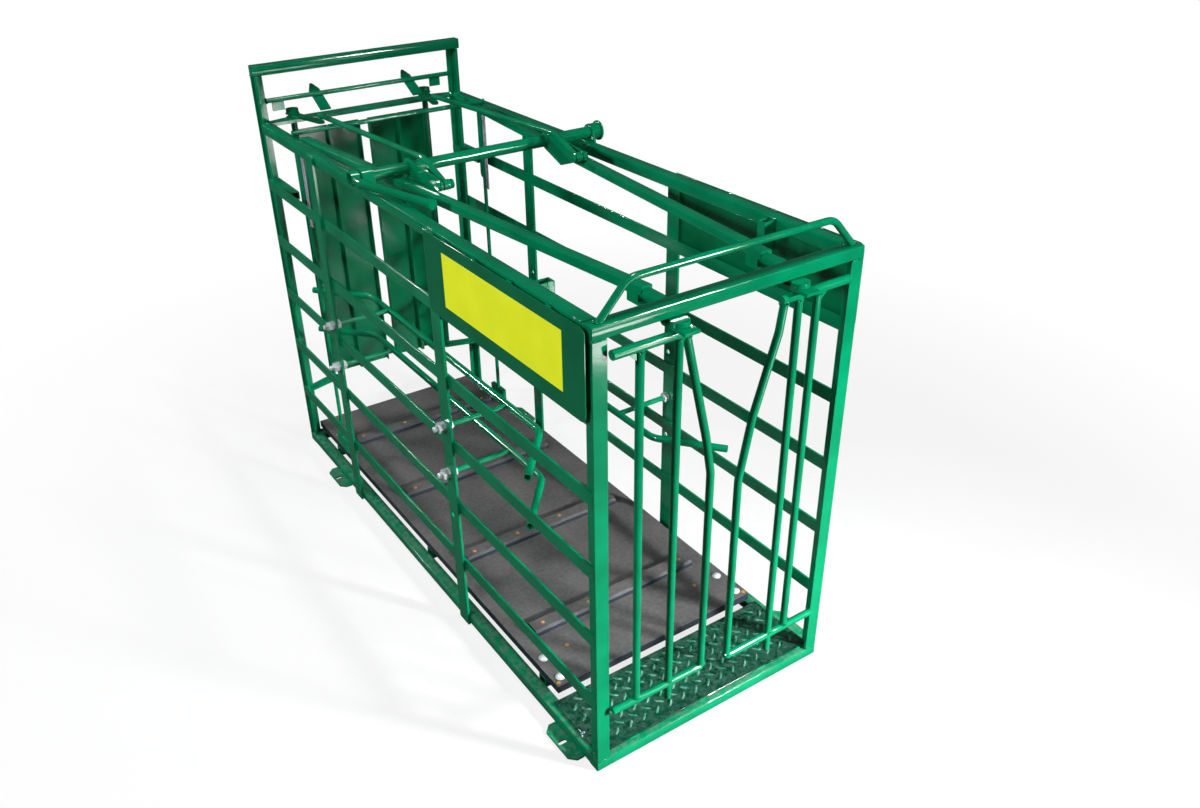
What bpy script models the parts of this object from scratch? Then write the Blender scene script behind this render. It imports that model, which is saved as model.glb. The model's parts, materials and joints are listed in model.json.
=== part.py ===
"""Sheep crate: a narrow steel crate that holds one sheep for weighing and handling.

Units are metres. X runs across the crate, Y from the exit end (-Y) to the entry end (+Y), and Z is up.
The origin is on the ground under the middle of the crate.
"""
import math

import bmesh
import bpy
from mathutils import Matrix, Vector

for old in list(bpy.data.objects):
    bpy.data.objects.remove(old, do_unlink=True)

GREEN = ("0a7a52", 0.30, 0.0)
DARK_MAT = ("5c6265", 0.80, 0.0)
ZINC = ("b9bec4", 0.35, 1.0)

# Crate frame
crate_length = 1.500
crate_width = 0.570
frame_height = 0.938
header_lift = 0.140
post_size = 0.028
rail_height = 0.024
tube_wall = 0.002
tube_corner = 0.0025
angle_thickness = 0.006
header_height = 0.025
vent_radius = 0.005
gap = 0.0003

# Sides
side_rail_count = 5
side_rail_height = 0.028
side_rail_depth = 0.005
side_rail_top_clear = 0.1215
side_rail_base_clear = 0.1317
flat_width = 0.040
flat_thickness = 0.006
flat_front_inset = 0.5285
flat_rear_inset = 0.365
flat_drop = 0.004
stud_hole_radius = 0.0068
spare_hole_drop = 0.109
panel_thickness = 0.003
panel_front_inset = 0.0075
panel_overrun = 0.0105
panel_height = 0.162
panel_drop = 0.0025
panel_corner = 0.012

# Base and floor
cross_member_size = 0.025
cross_member_base = 0.0115
cross_member_front_inset = 0.062
cross_member_middle_y = 0.020
cross_member_rear_inset = 0.140
mat_thickness = 0.018
mat_front_gap = 0.007
mat_rear_inset = 0.010
cleat_edges_y = (-0.418, -0.109, 0.218, 0.540)
cleat_width = 0.040
cleat_height = 0.015
cleat_inset = 0.0414
cleat_chamfer = 0.005
tread_thickness = 0.004
tread_inset = 0.013
tread_depth = 0.163
tab_reach = 0.031
tab_length = 0.106
tab_thickness = 0.005
tab_chamfer = 0.014
tab_front_inset = 0.0975
tab_rear_offset = 0.112
tab_slot_length = 0.020
tab_slot_width = 0.009
tab_slot_inset = 0.018

# Top of the entry end
stub_length = 0.150
stub_width = 0.025
stub_height = 0.020
stub_seat = 0.0025
cross_flat_height = 0.008
cross_flat_drop = 0.002
stop_bar_radius = 0.006
stop_bar_lift = 0.049
stop_tab_width = 0.031
stop_tab_drop = 0.027
stop_tab_thickness = 0.004
stop_tab_left_inset = 0.0295
stop_tab_right_inset = 0.0435
finger_x = (-0.120, 0.140)
finger_width = 0.028
finger_thickness = 0.005
finger_tilt = math.radians(28)
finger_bite = 0.0048
finger_back = 0.054
finger_reach = 0.048
finger_point = 0.024

# Top of the crate
hoop_radius = 0.0065
hoop_left_inset = 0.023
hoop_right_inset = 0.017
hoop_knee_inset = 0.052
hoop_height = 0.056
hoop_bend = 0.035
socket_length = 0.020
socket_width = 0.0285
socket_depth = 0.060
socket_wall = 0.0025
socket_inset = 0.199
top_bar_width = 0.024
top_bar_rise = 0.0025
top_bar_height = 0.0175
top_bar_side_gap = 0.002
top_bar_rear_gap = 0.030
top_bar_front_x = 0.127
end_tube_radius = 0.012
end_tube_length = 0.060
tie_bar_radius = 0.006
tie_bar_inset = 0.190
tie_bar_bearing = 0.006
drop_rod_radius = 0.005
drop_foot_length = 0.070
drop_foot_width = 0.012
drop_foot_height = 0.036
hanger_width = 0.022
hanger_thickness = 0.004
hanger_drop = 0.002
hanger_length = 0.175

# Exit gates
gate_bar_radius = 0.0075
gate_pin_radius = 0.0060
gate_arm_radius = 0.0085
gate_plane_reach = 0.009
gate_gap = 0.0006
gate_head_radius = 0.0165
gate_head_height = 0.0085
hinge_width = 0.030
hinge_thickness = 0.006
hinge_joggle = 0.0095
hinge_reach = 0.082
hinge_nose = 0.032
gate_left_side_inset = 0.0288
gate_left_post_x = -0.203
gate_left_foot_z = 0.152
gate_left_pivot_foot = 0.115
gate_left_neck_lift = 0.006
gate_left_bend = ((-0.112, 0.0176), (-0.062, 0.2216), (-0.048, 0.2976))
gate_right_side_inset = 0.042
gate_right_post_x = 0.170
gate_right_foot_z = 0.143
gate_right_pivot_foot = 0.105
gate_right_bend = ((0.094, 0.0176), (0.087, 0.0676), (0.041, 0.2176), (0.018, 0.3376))
gate_bend_radius = 0.060
gusset_size = 0.022
gusset_thickness = 0.004

# Entry doors
door_pivot_reach = 0.012
door_shaft_radius = 0.008
door_pin_radius = 0.005
door_panel_base = 0.185
door_panel_clearance = 0.028
door_centre_gap = 0.032
door_sheet = 0.002
door_flange = 0.016
door_rib_width = 0.008
door_head_radius = 0.016
door_head_height = 0.012
door_arm_thickness = 0.006
door_arm_width = 0.024
door_arm_tip_radius = 0.009
door_arm_clearance = 0.0015
door_arm_reach = 0.124
door_arm_inset = 0.029
door_stud_radius = 0.005
door_bracket_base = 0.168
door_bracket_thickness = 0.006
door_bracket_width = 0.032
door_ear_radius = 0.017

# Lever, cranks and link rods
shaft_y = 0.100
shaft_lift = 0.017
shaft_radius = 0.013
shaft_wall = 0.003
collar_wall = 0.003
shaft_overhang = 0.019
bearing_bore = 0.0136
bearing_wall = 0.005
bearing_left_width = 0.026
bearing_right_width = 0.024
bearing_foot = 0.025
cap_radius = 0.0225
cap_thickness = 0.004
handle_radius = 0.009
handle_bend = 0.027
handle_offset = 0.0125
handle_knee_reach = 0.045
handle_end_inset = 0.053
handle_end_reach = 0.225
handle_cap_radius = 0.011
handle_cap_thickness = 0.004
crank_thickness = 0.005
crank_boss = 0.021
crank_pin_boss = 0.0108
crank_corner_reach = 0.060
crank_corner_drop = 0.037
crank_corner_radius = 0.006
pin_reach = 0.145
pin_drop = 0.003
pin_radius = 0.005
pin_hole_radius = 0.0056
pin_side_play = 0.0018
pin_collar_radius = 0.009
pin_collar_width = 0.0015
pin_nut_radius = 0.0098
pin_nut_width = 0.006
link_radius = 0.0065
link_bend = 0.060
link_eye_radius = 0.0105
link_eye_half = 0.0075
link_eye_slot = 0.0016
link_offset = 0.0305
link_knee_reach = 0.050
link_knee_lift = 0.030
link_mid_reach = 0.200
link_mid_lift = 0.018
link_rear_lift = 0.002
link_overhang = 0.007
link_pivot_gap = 0.0015

# Side adjusters
adjuster_radius = 0.008
adjuster_wall = 0.0015
adjuster_left_inset = 0.144
adjuster_left_lift = (0.0641, 0.0249)
adjuster_right_inset = 0.139
adjuster_right_lift = 0.0591
adjuster_front_reach = 0.1235
adjuster_rear_reach = 0.110
adjuster_run_out = 0.130
adjuster_end_inset = 0.035
adjuster_bend = 0.050
stud_radius = 0.006
stud_offset = (0.0065, -0.002)
stud_overhang = 0.030

# Derived places
half_length = crate_length / 2
half_width = crate_width / 2
rear_height = frame_height + header_lift
post_x = half_width - post_size / 2
post_y = half_length - post_size / 2
inner_x = half_width - post_size
inner_y = half_length - post_size
top_rail_base = frame_height - rail_height
post_leg_y = half_length - angle_thickness
post_side_x = half_width - side_rail_depth - gap

side_rail_top = top_rail_base - side_rail_top_clear
side_rail_run = side_rail_top - side_rail_height - rail_height - side_rail_base_clear
side_rail_pitch = side_rail_run / (side_rail_count - 1)
flat_outer_x = half_width + gap + flat_thickness
flat_front_y = flat_front_inset - half_length
flat_rear_y = half_length - flat_rear_inset
flat_top = frame_height - flat_drop
panel_front_y = panel_front_inset - half_length
panel_rear_y = flat_front_y + panel_overrun
panel_top = frame_height - panel_drop
stub_top = side_rail_top - stub_seat

mat_base = cross_member_base + cross_member_size + gap
mat_top = mat_base + mat_thickness
mat_side = inner_x - 2 * gap
tread_front_y = tread_inset - half_length
tread_rear_y = tread_front_y + tread_depth
mat_front_y = tread_rear_y + mat_front_gap
mat_rear_y = half_length - mat_rear_inset
cleat_half_length = mat_side - cleat_inset
cross_member_front_y = mat_front_y + cross_member_front_inset
cross_member_rear_y = mat_rear_y - cross_member_rear_inset
cross_member_y = (cross_member_front_y, cross_member_middle_y, cross_member_rear_y)
tab_front_y = tab_front_inset - half_length
tab_rear_y = flat_rear_y + tab_rear_offset

cross_flat_top = frame_height - cross_flat_drop
stop_bar_y = post_leg_y
stop_bar_z = frame_height + stop_bar_lift
stop_tab_x = (stop_tab_left_inset - inner_x, inner_x - stop_tab_right_inset)
hoop_left_x = hoop_left_inset - half_width
hoop_right_x = half_width - hoop_right_inset
socket_y = socket_inset - half_length
tie_bar_y = half_length - tie_bar_inset
top_bar_top = frame_height + top_bar_rise
top_bar_rear_x = inner_x - top_bar_side_gap - top_bar_width / 2
top_bar_rear_y = tie_bar_y - top_bar_rear_gap
hanger_top = top_rail_base - hanger_drop

hinge_top = top_rail_base - gap
hinge_nose_top = hinge_top - hinge_joggle
hinge_rear_y = hinge_reach - inner_y
gate_bar_top = hinge_nose_top - hinge_thickness - gate_gap
gate_plane_y = -half_length - gate_plane_reach
gate_left_outer_x = gate_left_side_inset - half_width
gate_right_outer_x = half_width - gate_right_side_inset

link_x = inner_x / 2 + link_offset
door_pivot_x = link_x + door_arm_inset
door_pivot_y = half_length + door_pivot_reach
door_arm_tip_y = door_pivot_y - door_arm_reach
door_arm_base = cross_flat_top + door_arm_clearance
door_arm_top = door_arm_base + door_arm_thickness
door_panel_top = cross_flat_top - cross_flat_height - door_panel_clearance

shaft_z = frame_height + shaft_lift
shaft_left_x = -half_width - shaft_overhang
handle_root_x = -half_width - handle_offset
handle_knee_y = shaft_y - handle_knee_reach
handle_end_x = handle_end_inset - half_width
handle_end_y = shaft_y - handle_end_reach
crank_corner_y = shaft_y - crank_corner_reach
crank_corner_z = shaft_z - crank_corner_drop
crank_inner_x = link_x + link_eye_half + pin_side_play + pin_collar_width
pin_y = shaft_y - pin_reach
pin_z = shaft_z - pin_drop
link_knee_y = shaft_y - link_knee_reach
link_knee_z = shaft_z + link_knee_lift
link_mid_y = shaft_y + link_mid_reach
link_mid_z = shaft_z + link_mid_lift
link_rear_z = shaft_z + link_rear_lift


def rail_top(number):
    """Height of the top edge of a side rail, counted from the highest."""
    return side_rail_top - (number - 1) * side_rail_pitch


adjuster_left_x = adjuster_left_inset - half_width
adjuster_left_z = (rail_top(4) + adjuster_left_lift[0], rail_top(3) + adjuster_left_lift[1])
adjuster_right_x = half_width - adjuster_right_inset
adjuster_right_z = rail_top(4) + adjuster_right_lift
adjuster_end_x = half_width - adjuster_end_inset
adjuster_front_y = flat_front_y - adjuster_front_reach
adjuster_rear_y = flat_rear_y + adjuster_rear_reach
stud_y = (flat_front_y + stud_offset[0], flat_rear_y + stud_offset[1])


def rgb(hex_code):
    """Linear colour from an sRGB hex code."""
    channels = [int(hex_code[i:i + 2], 16) / 255 for i in (0, 2, 4)]
    return [c / 12.92 if c <= 0.04045 else ((c + 0.055) / 1.055) ** 2.4 for c in channels] + [1.0]


def paint(obj, look):
    """Gives an object its own material."""
    hex_code, roughness, metallic = look
    material = bpy.data.materials.new(obj.name)
    material.use_nodes = True
    shader = material.node_tree.nodes["Principled BSDF"]
    shader.inputs["Base Color"].default_value = rgb(hex_code)
    shader.inputs["Roughness"].default_value = roughness
    shader.inputs["Metallic"].default_value = metallic
    obj.data.materials.clear()
    obj.data.materials.append(material)


def add_object(name, bm, origin=(0, 0, 0), look=GREEN):
    """Turns a bmesh in world coordinates into an object whose own origin is at the given point."""
    bmesh.ops.recalc_face_normals(bm, faces=bm.faces)
    bmesh.ops.translate(bm, verts=bm.verts, vec=-Vector(origin))
    mesh = bpy.data.meshes.new(name)
    bm.to_mesh(mesh)
    bm.free()
    mesh.shade_smooth()
    mesh.set_sharp_from_angle(angle=math.radians(35))
    obj = bpy.data.objects.new(name, mesh)
    obj.location = origin
    bpy.context.collection.objects.link(obj)
    paint(obj, look)
    return obj


def place(obj, origin):
    """Moves an object's own origin without moving its shape."""
    shift = Vector(origin) - obj.location
    obj.data.transform(Matrix.Translation(-shift))
    obj.location = origin
    return obj


def combine(obj, pieces, operation):
    """Joins pieces to an object, or cuts them from it, and clears them away."""
    material = obj.data.materials[0]
    for piece in pieces:
        step = obj.modifiers.new(operation.lower(), "BOOLEAN")
        step.operation = operation
        step.solver = "EXACT"
        step.object = piece
    bpy.context.view_layer.update()
    result = bpy.data.meshes.new_from_object(obj.evaluated_get(bpy.context.evaluated_depsgraph_get()))
    obj.modifiers.clear()
    obj.data = result
    for piece in pieces:
        bpy.data.objects.remove(piece, do_unlink=True)
    trim = bmesh.new()
    trim.from_mesh(result)
    bmesh.ops.dissolve_degenerate(trim, edges=trim.edges, dist=0.000005)
    trim.to_mesh(result)
    trim.free()
    result.shade_smooth()
    result.set_sharp_from_angle(angle=math.radians(35))
    result.materials.clear()
    result.materials.append(material)
    return obj


def fuse(obj, *pieces):
    return combine(obj, pieces, "UNION")


def cut(obj, *pieces):
    return combine(obj, pieces, "DIFFERENCE")


def box(name, low, high, look=GREEN):
    """Solid block between two corners."""
    bm = bmesh.new()
    bmesh.ops.create_cube(bm, size=1)
    size = [b - a for a, b in zip(low, high)]
    centre = [(a + b) / 2 for a, b in zip(low, high)]
    bmesh.ops.scale(bm, verts=bm.verts, vec=size)
    bmesh.ops.translate(bm, verts=bm.verts, vec=centre)
    return add_object(name, bm, look=look)


def slab(name, outline, normal, base, thickness, look=GREEN):
    """Plate from an outline in the plane across an axis, given in the order of the other two axes."""
    bm = bmesh.new()
    spots = []
    for u, v in outline:
        spot = [u, v]
        spot.insert("XYZ".index(normal), base)
        spots.append(bm.verts.new(spot))
    face = bm.faces.new(spots)
    raised = bmesh.ops.extrude_face_region(bm, geom=[face])
    lifted = [item for item in raised["geom"] if isinstance(item, bmesh.types.BMVert)]
    push = Vector((0, 0, 0))
    push["XYZ".index(normal)] = thickness
    bmesh.ops.translate(bm, verts=lifted, vec=push)
    return add_object(name, bm, look=look)


def arc(centre, radius, start, end, steps):
    """Points along a circular arc, angles in degrees."""
    angles = [math.radians(start + (end - start) * i / steps) for i in range(steps + 1)]
    return [(centre[0] + radius * math.cos(a), centre[1] + radius * math.sin(a)) for a in angles]


def rounded(width, height, radius, steps=2):
    """Rectangle with round corners, centred on the origin."""
    u = width / 2 - radius
    v = height / 2 - radius
    corners = (((u, v), 0), ((-u, v), 90), ((-u, -v), 180), ((u, -v), 270))
    return [p for centre, turn in corners for p in arc(centre, radius, turn, turn + 90, steps)]


def circle(radius, sides):
    return arc((0, 0), radius, 0, 360 * (sides - 1) / sides, sides - 1)


def hull(circles, steps=5):
    """Outline round circles listed counter-clockwise as (u, v, radius), with straight sides between them."""
    points = []
    count = len(circles)
    for i, (u, v, radius) in enumerate(circles):
        before = circles[i - 1]
        after = circles[(i + 1) % count]
        start = tangent(before, circles[i])
        end = tangent(circles[i], after)
        while end < start:
            end += 360
        points += arc((u, v), radius, start, end, steps)
    return points


def tangent(first, second):
    """Direction in degrees of the outer tangent's touching points on two circles."""
    run = math.hypot(second[0] - first[0], second[1] - first[1])
    heading = math.degrees(math.atan2(second[1] - first[1], second[0] - first[0]))
    return heading - math.degrees(math.acos((first[2] - second[2]) / run))


def bent(points, radius, steps=4):
    """Path through points with each corner rounded to a bend radius."""
    path = [Vector(points[0])]
    for before, corner, after in zip(points, points[1:], points[2:]):
        corner = Vector(corner)
        to_before = (Vector(before) - corner).normalized()
        to_after = (Vector(after) - corner).normalized()
        half = to_before.angle(to_after) / 2
        reach = radius / math.tan(half)
        centre = corner + (to_before + to_after).normalized() * (radius / math.sin(half))
        start = corner + to_before * reach - centre
        end = corner + to_after * reach - centre
        for i in range(steps + 1):
            path.append(centre + start.slerp(end, i / steps).normalized() * radius)
    path.append(Vector(points[-1]))
    return path


def sweep(name, path, loops, side, look=GREEN):
    """Carries one outline, or an outer and an inner one, along a path.

    The outline's first axis stays as near as it can to the given side.
    """
    path = [Vector(p) for p in path]
    bm = bmesh.new()
    rings = []
    for i, spot in enumerate(path):
        ahead = (path[min(i + 1, len(path) - 1)] - spot).normalized()
        behind = (spot - path[max(i - 1, 0)]).normalized()
        along = (ahead + behind).normalized()
        across = (Vector(side) - along * along.dot(Vector(side))).normalized()
        up = along.cross(across)
        turn = ahead.angle(behind) / 2 if 0 < i < len(path) - 1 else 0
        bend = ahead - behind
        out = bend.normalized() if turn > 0.0001 else across
        ring = []
        for loop in loops:
            spots = []
            for u, v in loop:
                offset = across * u + up * v
                offset += out * offset.dot(out) * (1 / math.cos(turn) - 1)
                spots.append(bm.verts.new(spot + offset))
            ring.append(spots)
        rings.append(ring)
    for first, second in zip(rings, rings[1:]):
        for a, b in zip(first, second):
            for k in range(len(a)):
                bm.faces.new((a[k - 1], a[k], b[k], b[k - 1]))
    for end in (rings[0], rings[-1]):
        if len(end) == 1:
            bm.faces.new(end[0])
        else:
            for k in range(len(end[0])):
                bm.faces.new((end[0][k - 1], end[0][k], end[1][k], end[1][k - 1]))
    return add_object(name, bm, look=look)


def rod(name, path, radius, side=(0, 0, 1), bore=0, sides=12, look=GREEN):
    """Round bar, or round tube where it has a bore."""
    loops = [circle(radius, sides)]
    if bore:
        loops.append(circle(bore, sides))
    return sweep(name, path, loops, side, look)


def tube(name, start, end, width, height, side):
    """Rectangular tube with open ends; its width lies along the given side."""
    outer = rounded(width, height, tube_corner)
    inner = rounded(width - 2 * tube_wall, height - 2 * tube_wall, tube_corner - tube_wall)
    return sweep(name, (start, end), (outer, inner), side)


def capped_tube(name, y, z_low, height, vent_face):
    """Rectangular tube across the crate with closed ends and a vent into each post's bore."""
    start = (-half_width, y, z_low + height / 2)
    end = (half_width, y, z_low + height / 2)
    rail = sweep(name, (start, end), [rounded(post_size, height, tube_corner)], (0, 1, 0))
    inside = tube_wall
    hollow = box("hollow", (-half_width + inside, y - post_size / 2 + inside, z_low + inside),
                 (half_width - inside, y + post_size / 2 - inside, z_low + height - inside))
    vents = []
    for x in (-post_x, post_x):
        low = vent_face - 2 * tube_wall
        high = vent_face + 2 * tube_wall
        vents.append(rod("vent", ((x, y, low), (x, y, high)), vent_radius, (1, 0, 0), sides=8))
    return cut(rail, fuse(hollow, *vents))


def make_base():
    capped_tube("base_rail_front", -post_y, 0, rail_height, rail_height)
    capped_tube("base_rail_rear", post_y, 0, rail_height, rail_height)
    for sign, word in ((-1, "left"), (1, "right")):
        start = (sign * post_x, -inner_y + gap, rail_height / 2)
        end = (sign * post_x, inner_y - gap, rail_height / 2)
        tube(f"base_rail_{word}", start, end, post_size, rail_height, (1, 0, 0))
        for y, end_word in ((tab_front_y, "front"), (tab_rear_y, "rear")):
            make_foot_tab(f"foot_tab_{end_word}_{word}", sign, y)
    middle = cross_member_base + cross_member_size / 2
    for i, y in enumerate(cross_member_y):
        start = (-inner_x + gap, y, middle)
        end = (inner_x - gap, y, middle)
        tube(f"base_cross_member_{i + 1}", start, end, cross_member_size, cross_member_size, (0, 1, 0))


def make_foot_tab(name, sign, y):
    """Flat tab with a slot for a ground or load-bar bolt, its outer corners chamfered."""
    near = half_width + gap
    far = half_width + tab_reach
    half = tab_length / 2
    outline = [(near, y - half), (far - tab_chamfer, y - half), (far, y - half + tab_chamfer),
               (far, y + half - tab_chamfer), (far - tab_chamfer, y + half), (near, y + half)]
    tab = slab(name, [(sign * u, v) for u, v in outline], "Z", 0, tab_thickness)
    half_slot = (tab_slot_length - tab_slot_width) / 2
    centre = half_width + tab_slot_inset
    ends = [(centre - half_slot, y, tab_slot_width / 2), (centre + half_slot, y, tab_slot_width / 2)]
    slot_outline = [(sign * u, v) for u, v in hull(ends, 6)]
    cut(tab, slab("slot", slot_outline, "Z", -tab_thickness, 3 * tab_thickness))


def make_posts():
    low = rail_height + gap
    front_high = top_rail_base - gap
    rear_high = rear_height - header_height - gap
    for sign, word in ((-1, "left"), (1, "right")):
        slab(f"post_front_{word}", post_outline(sign, -1), "Z", low, front_high - low)
        post = slab(f"post_rear_{word}", post_outline(sign, 1), "Z", low, rear_high - low)
        fuse(post, door_bracket(sign), stub(sign))


def post_outline(sign, end):
    """Section of a post: a leg across the crate, and a side leg set in by the thickness of the side rails."""
    side_inner = post_side_x - angle_thickness
    spots = [(inner_x, half_length), (half_width, half_length), (half_width, post_leg_y),
             (post_side_x, post_leg_y), (post_side_x, inner_y), (side_inner, inner_y),
             (side_inner, post_leg_y), (inner_x, post_leg_y)]
    return [(sign * x, end * y) for x, y in spots]


def stub(sign):
    """Short box tube with an open front end, along the inside of the highest side rail."""
    outer_x = post_side_x
    front_y = half_length - stub_length
    rear_y = post_leg_y + angle_thickness / 2
    shell = side_box("stub", sign, (outer_x - stub_width, front_y, stub_top - stub_height),
                     (outer_x, rear_y, stub_top))
    room = side_box("room", sign, (outer_x - stub_width + tube_wall, front_y - tube_wall,
                                   stub_top - stub_height + tube_wall),
                    (outer_x - tube_wall, post_leg_y - tube_wall, stub_top - tube_wall))
    return cut(shell, room)


def side_box(name, sign, low, high):
    """Block on one side of the crate, given by its corners on the right-hand side."""
    near = sign * low[0]
    far = sign * high[0]
    return box(name, (min(near, far), low[1], low[2]), (max(near, far), high[1], high[2]))


def door_bracket(sign):
    """Plate from the rear post that carries the foot of a door's shaft."""
    reach = post_side_x - angle_thickness / 2
    low_y = half_length - door_bracket_width
    ear = (door_pivot_x, door_pivot_y, door_ear_radius)
    outline = [(reach, low_y), (reach, half_length - angle_thickness / 2)]
    outline += arc(ear[:2], ear[2], 60, 250, 8)
    plate = slab("bracket", [(sign * u, v) for u, v in outline], "Z", door_bracket_base,
                 door_bracket_thickness)
    hole = rod("hole", ((sign * ear[0], ear[1], door_bracket_base - door_bracket_thickness),
                        (sign * ear[0], ear[1], door_bracket_base + 2 * door_bracket_thickness)),
               door_pin_radius + 2 * gap, (1, 0, 0), sides=16)
    return cut(plate, hole)


def make_top_frame():
    capped_tube("top_rail_front", -post_y, top_rail_base, rail_height, top_rail_base)
    capped_tube("header_rail", post_y, rear_height - header_height, header_height,
                rear_height - header_height)
    middle = top_rail_base + rail_height / 2
    for sign, word in ((-1, "left"), (1, "right")):
        x = sign * post_x
        rail = tube(f"top_rail_{word}", (x, -inner_y + gap, middle), (x, inner_y - gap, middle), post_size,
                    rail_height, (1, 0, 0))
        fuse(rail, make_socket(sign))


def make_socket(sign):
    """Open-topped socket of flat tube on the inner face of a top rail."""
    outer_x = inner_x + tube_wall / 2
    half = socket_length / 2
    far_x = inner_x - socket_width
    shell = side_box("socket", sign, (far_x, socket_y - half, frame_height - socket_depth),
                     (outer_x, socket_y + half, frame_height - tube_corner))
    room = side_box("room", sign, (far_x + socket_wall, socket_y - half + socket_wall,
                                   frame_height - socket_depth - socket_wall),
                    (inner_x - socket_wall / 2, socket_y + half - socket_wall, frame_height + socket_wall))
    return cut(shell, room)


def make_sides():
    end_y = post_leg_y - gap
    for sign, word in ((-1, "left"), (1, "right")):
        for i in range(side_rail_count):
            top = rail_top(i + 1)
            side_box(f"side_rail_{word}_{i + 1}", sign, (half_width - side_rail_depth, -end_y,
                                                         top - side_rail_height), (half_width, end_y, top))
        levels = adjuster_left_z if sign < 0 else (adjuster_right_z,)
        ends = ((flat_front_y, stud_y[0], "front"), (flat_rear_y, stud_y[1], "rear"))
        for centre, hole_y, end_word in ends:
            flat = side_box(f"side_flat_{word}_{end_word}", sign,
                            (half_width + gap, centre - flat_width / 2, 0),
                            (flat_outer_x, centre + flat_width / 2, flat_top))
            cut(flat, *[stud_hole(sign, hole_y, z) for z in adjuster_holes(levels)])
        make_side_panel(sign, word)


def adjuster_holes(levels):
    """Heights of all holes in a flat: those in use and the spare ones."""
    spare = (adjuster_left_z[0] - spare_hole_drop, adjuster_left_z[1])
    return list(levels) + [z for z in spare if z not in levels]


def stud_hole(sign, y, z):
    near = sign * (half_width - flat_thickness)
    far = sign * (flat_outer_x + flat_thickness)
    return rod("hole", ((near, y, z), (far, y, z)), stud_hole_radius, (0, 1, 0), sides=16)


def make_side_panel(sign, word):
    """Sheet on the outside of the side, near the exit, with round corners."""
    outline = rounded(panel_rear_y - panel_front_y, panel_height, panel_corner, 4)
    centre_y = (panel_rear_y + panel_front_y) / 2
    centre_z = panel_top - panel_height / 2
    spots = [(centre_y + u, centre_z + v) for u, v in outline]
    slab(f"side_panel_{word}", spots, "X", sign * (flat_outer_x + gap), sign * panel_thickness)


def make_floor():
    mat = box("floor_mat", (-mat_side, mat_front_y, mat_base), (mat_side, mat_rear_y, mat_top), DARK_MAT)
    cleats = []
    for edge in cleat_edges_y:
        profile = [(edge, mat_top - cleat_chamfer), (edge + cleat_width, mat_top - cleat_chamfer),
                   (edge + cleat_width, mat_top + cleat_height - cleat_chamfer),
                   (edge + cleat_width - cleat_chamfer, mat_top + cleat_height),
                   (edge + cleat_chamfer, mat_top + cleat_height),
                   (edge, mat_top + cleat_height - cleat_chamfer)]
        cleats.append(slab("cleat", profile, "X", -cleat_half_length, 2 * cleat_half_length, DARK_MAT))
    fuse(mat, *cleats)
    tread_side = half_width - tread_inset
    box("tread_plate", (-tread_side, tread_front_y, rail_height + gap),
        (tread_side, tread_rear_y, rail_height + gap + tread_thickness))


def make_entry_top():
    """Flat cross rail with the door shafts' upper bearings, and the stop bar with its tabs and fingers."""
    near = inner_x - gap
    ears = []
    for sign in (1, -1):
        side = arc((sign * door_pivot_x, door_pivot_y), door_ear_radius, 0, 180, 8)
        ears += side
    outline = [(-near, inner_y), (near, inner_y), (near, half_length)] + ears + [(-near, half_length)]
    base = cross_flat_top - cross_flat_height
    rail = slab("rear_cross_rail", outline, "Z", base, cross_flat_height)
    holes = [rod("hole", ((sign * door_pivot_x, door_pivot_y, base - cross_flat_height),
                          (sign * door_pivot_x, door_pivot_y, cross_flat_top + cross_flat_height)),
                 door_shaft_radius + 2 * gap, (1, 0, 0), sides=20) for sign in (-1, 1)]
    cut(rail, *holes)
    bar = rod("stop_bar", ((-near, stop_bar_y, stop_bar_z), (near, stop_bar_y, stop_bar_z)), stop_bar_radius,
              (0, 1, 0))
    pieces = []
    for x in stop_tab_x:
        pieces.append(box("tab", (x - stop_tab_width / 2, stop_bar_y - stop_tab_thickness / 2,
                                  stop_bar_z - stop_tab_drop),
                          (x + stop_tab_width / 2, stop_bar_y + stop_tab_thickness / 2, stop_bar_z)))
    pieces += [finger(x) for x in finger_x]
    fuse(bar, *pieces)


def finger(x):
    """Pointed flat that passes under the stop bar and rises to the rear."""
    half = finger_width / 2
    shoulder = finger_reach - finger_point
    outline = [(-half, -finger_back), (half, -finger_back), (half, shoulder)]
    outline += arc((0, finger_reach - half / 3), half / 3, 30, 150, 4)
    outline += [(-half, shoulder)]
    plate = slab("finger", outline, "Z", -finger_thickness, finger_thickness)
    across = stop_bar_y + finger_bite * math.sin(finger_tilt)
    seat = Vector((x, across, stop_bar_z - finger_bite * math.cos(finger_tilt)))
    plate.data.transform(Matrix.Translation(seat) @ Matrix.Rotation(finger_tilt, 4, "X"))
    return plate


def make_hoop():
    y = -post_y
    top = frame_height + gap
    left = hoop_left_x
    right = hoop_right_x
    lean = hoop_knee_inset / hoop_height
    spare = 2 * hoop_radius
    points = ((left - lean * spare, y, top - spare), (left + hoop_knee_inset, y, top + hoop_height),
              (right - hoop_knee_inset, y, top + hoop_height), (right + lean * spare, y, top - spare))
    hoop = rod("hoop", bent(points, hoop_bend), hoop_radius, (0, 1, 0))
    cut(hoop, box("under", (-crate_width, y - post_size, top - 4 * spare), (crate_width, y + post_size, top)))


def make_top_bars():
    """Long top bars with their end tubes and the joggled plates that carry the exit gates."""
    middle = frame_height - rail_height / 2
    front_y = -inner_y + gap
    tube_rear_y = front_y + end_tube_length
    for sign, word in ((-1, "left"), (1, "right")):
        x = sign * top_bar_front_x
        outer = rounded(top_bar_width, top_bar_height, tube_corner)
        bar_z = top_bar_top - top_bar_height / 2
        bar = sweep(f"top_bar_{word}", ((x, tube_rear_y - end_tube_radius, bar_z),
                                        (sign * top_bar_rear_x, top_bar_rear_y, bar_z)), [outer], (1, 0, 0))
        fuse(bar, rod("end", ((x, front_y, middle), (x, tube_rear_y, middle)), end_tube_radius),
             hinge_plate(sign))


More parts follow.
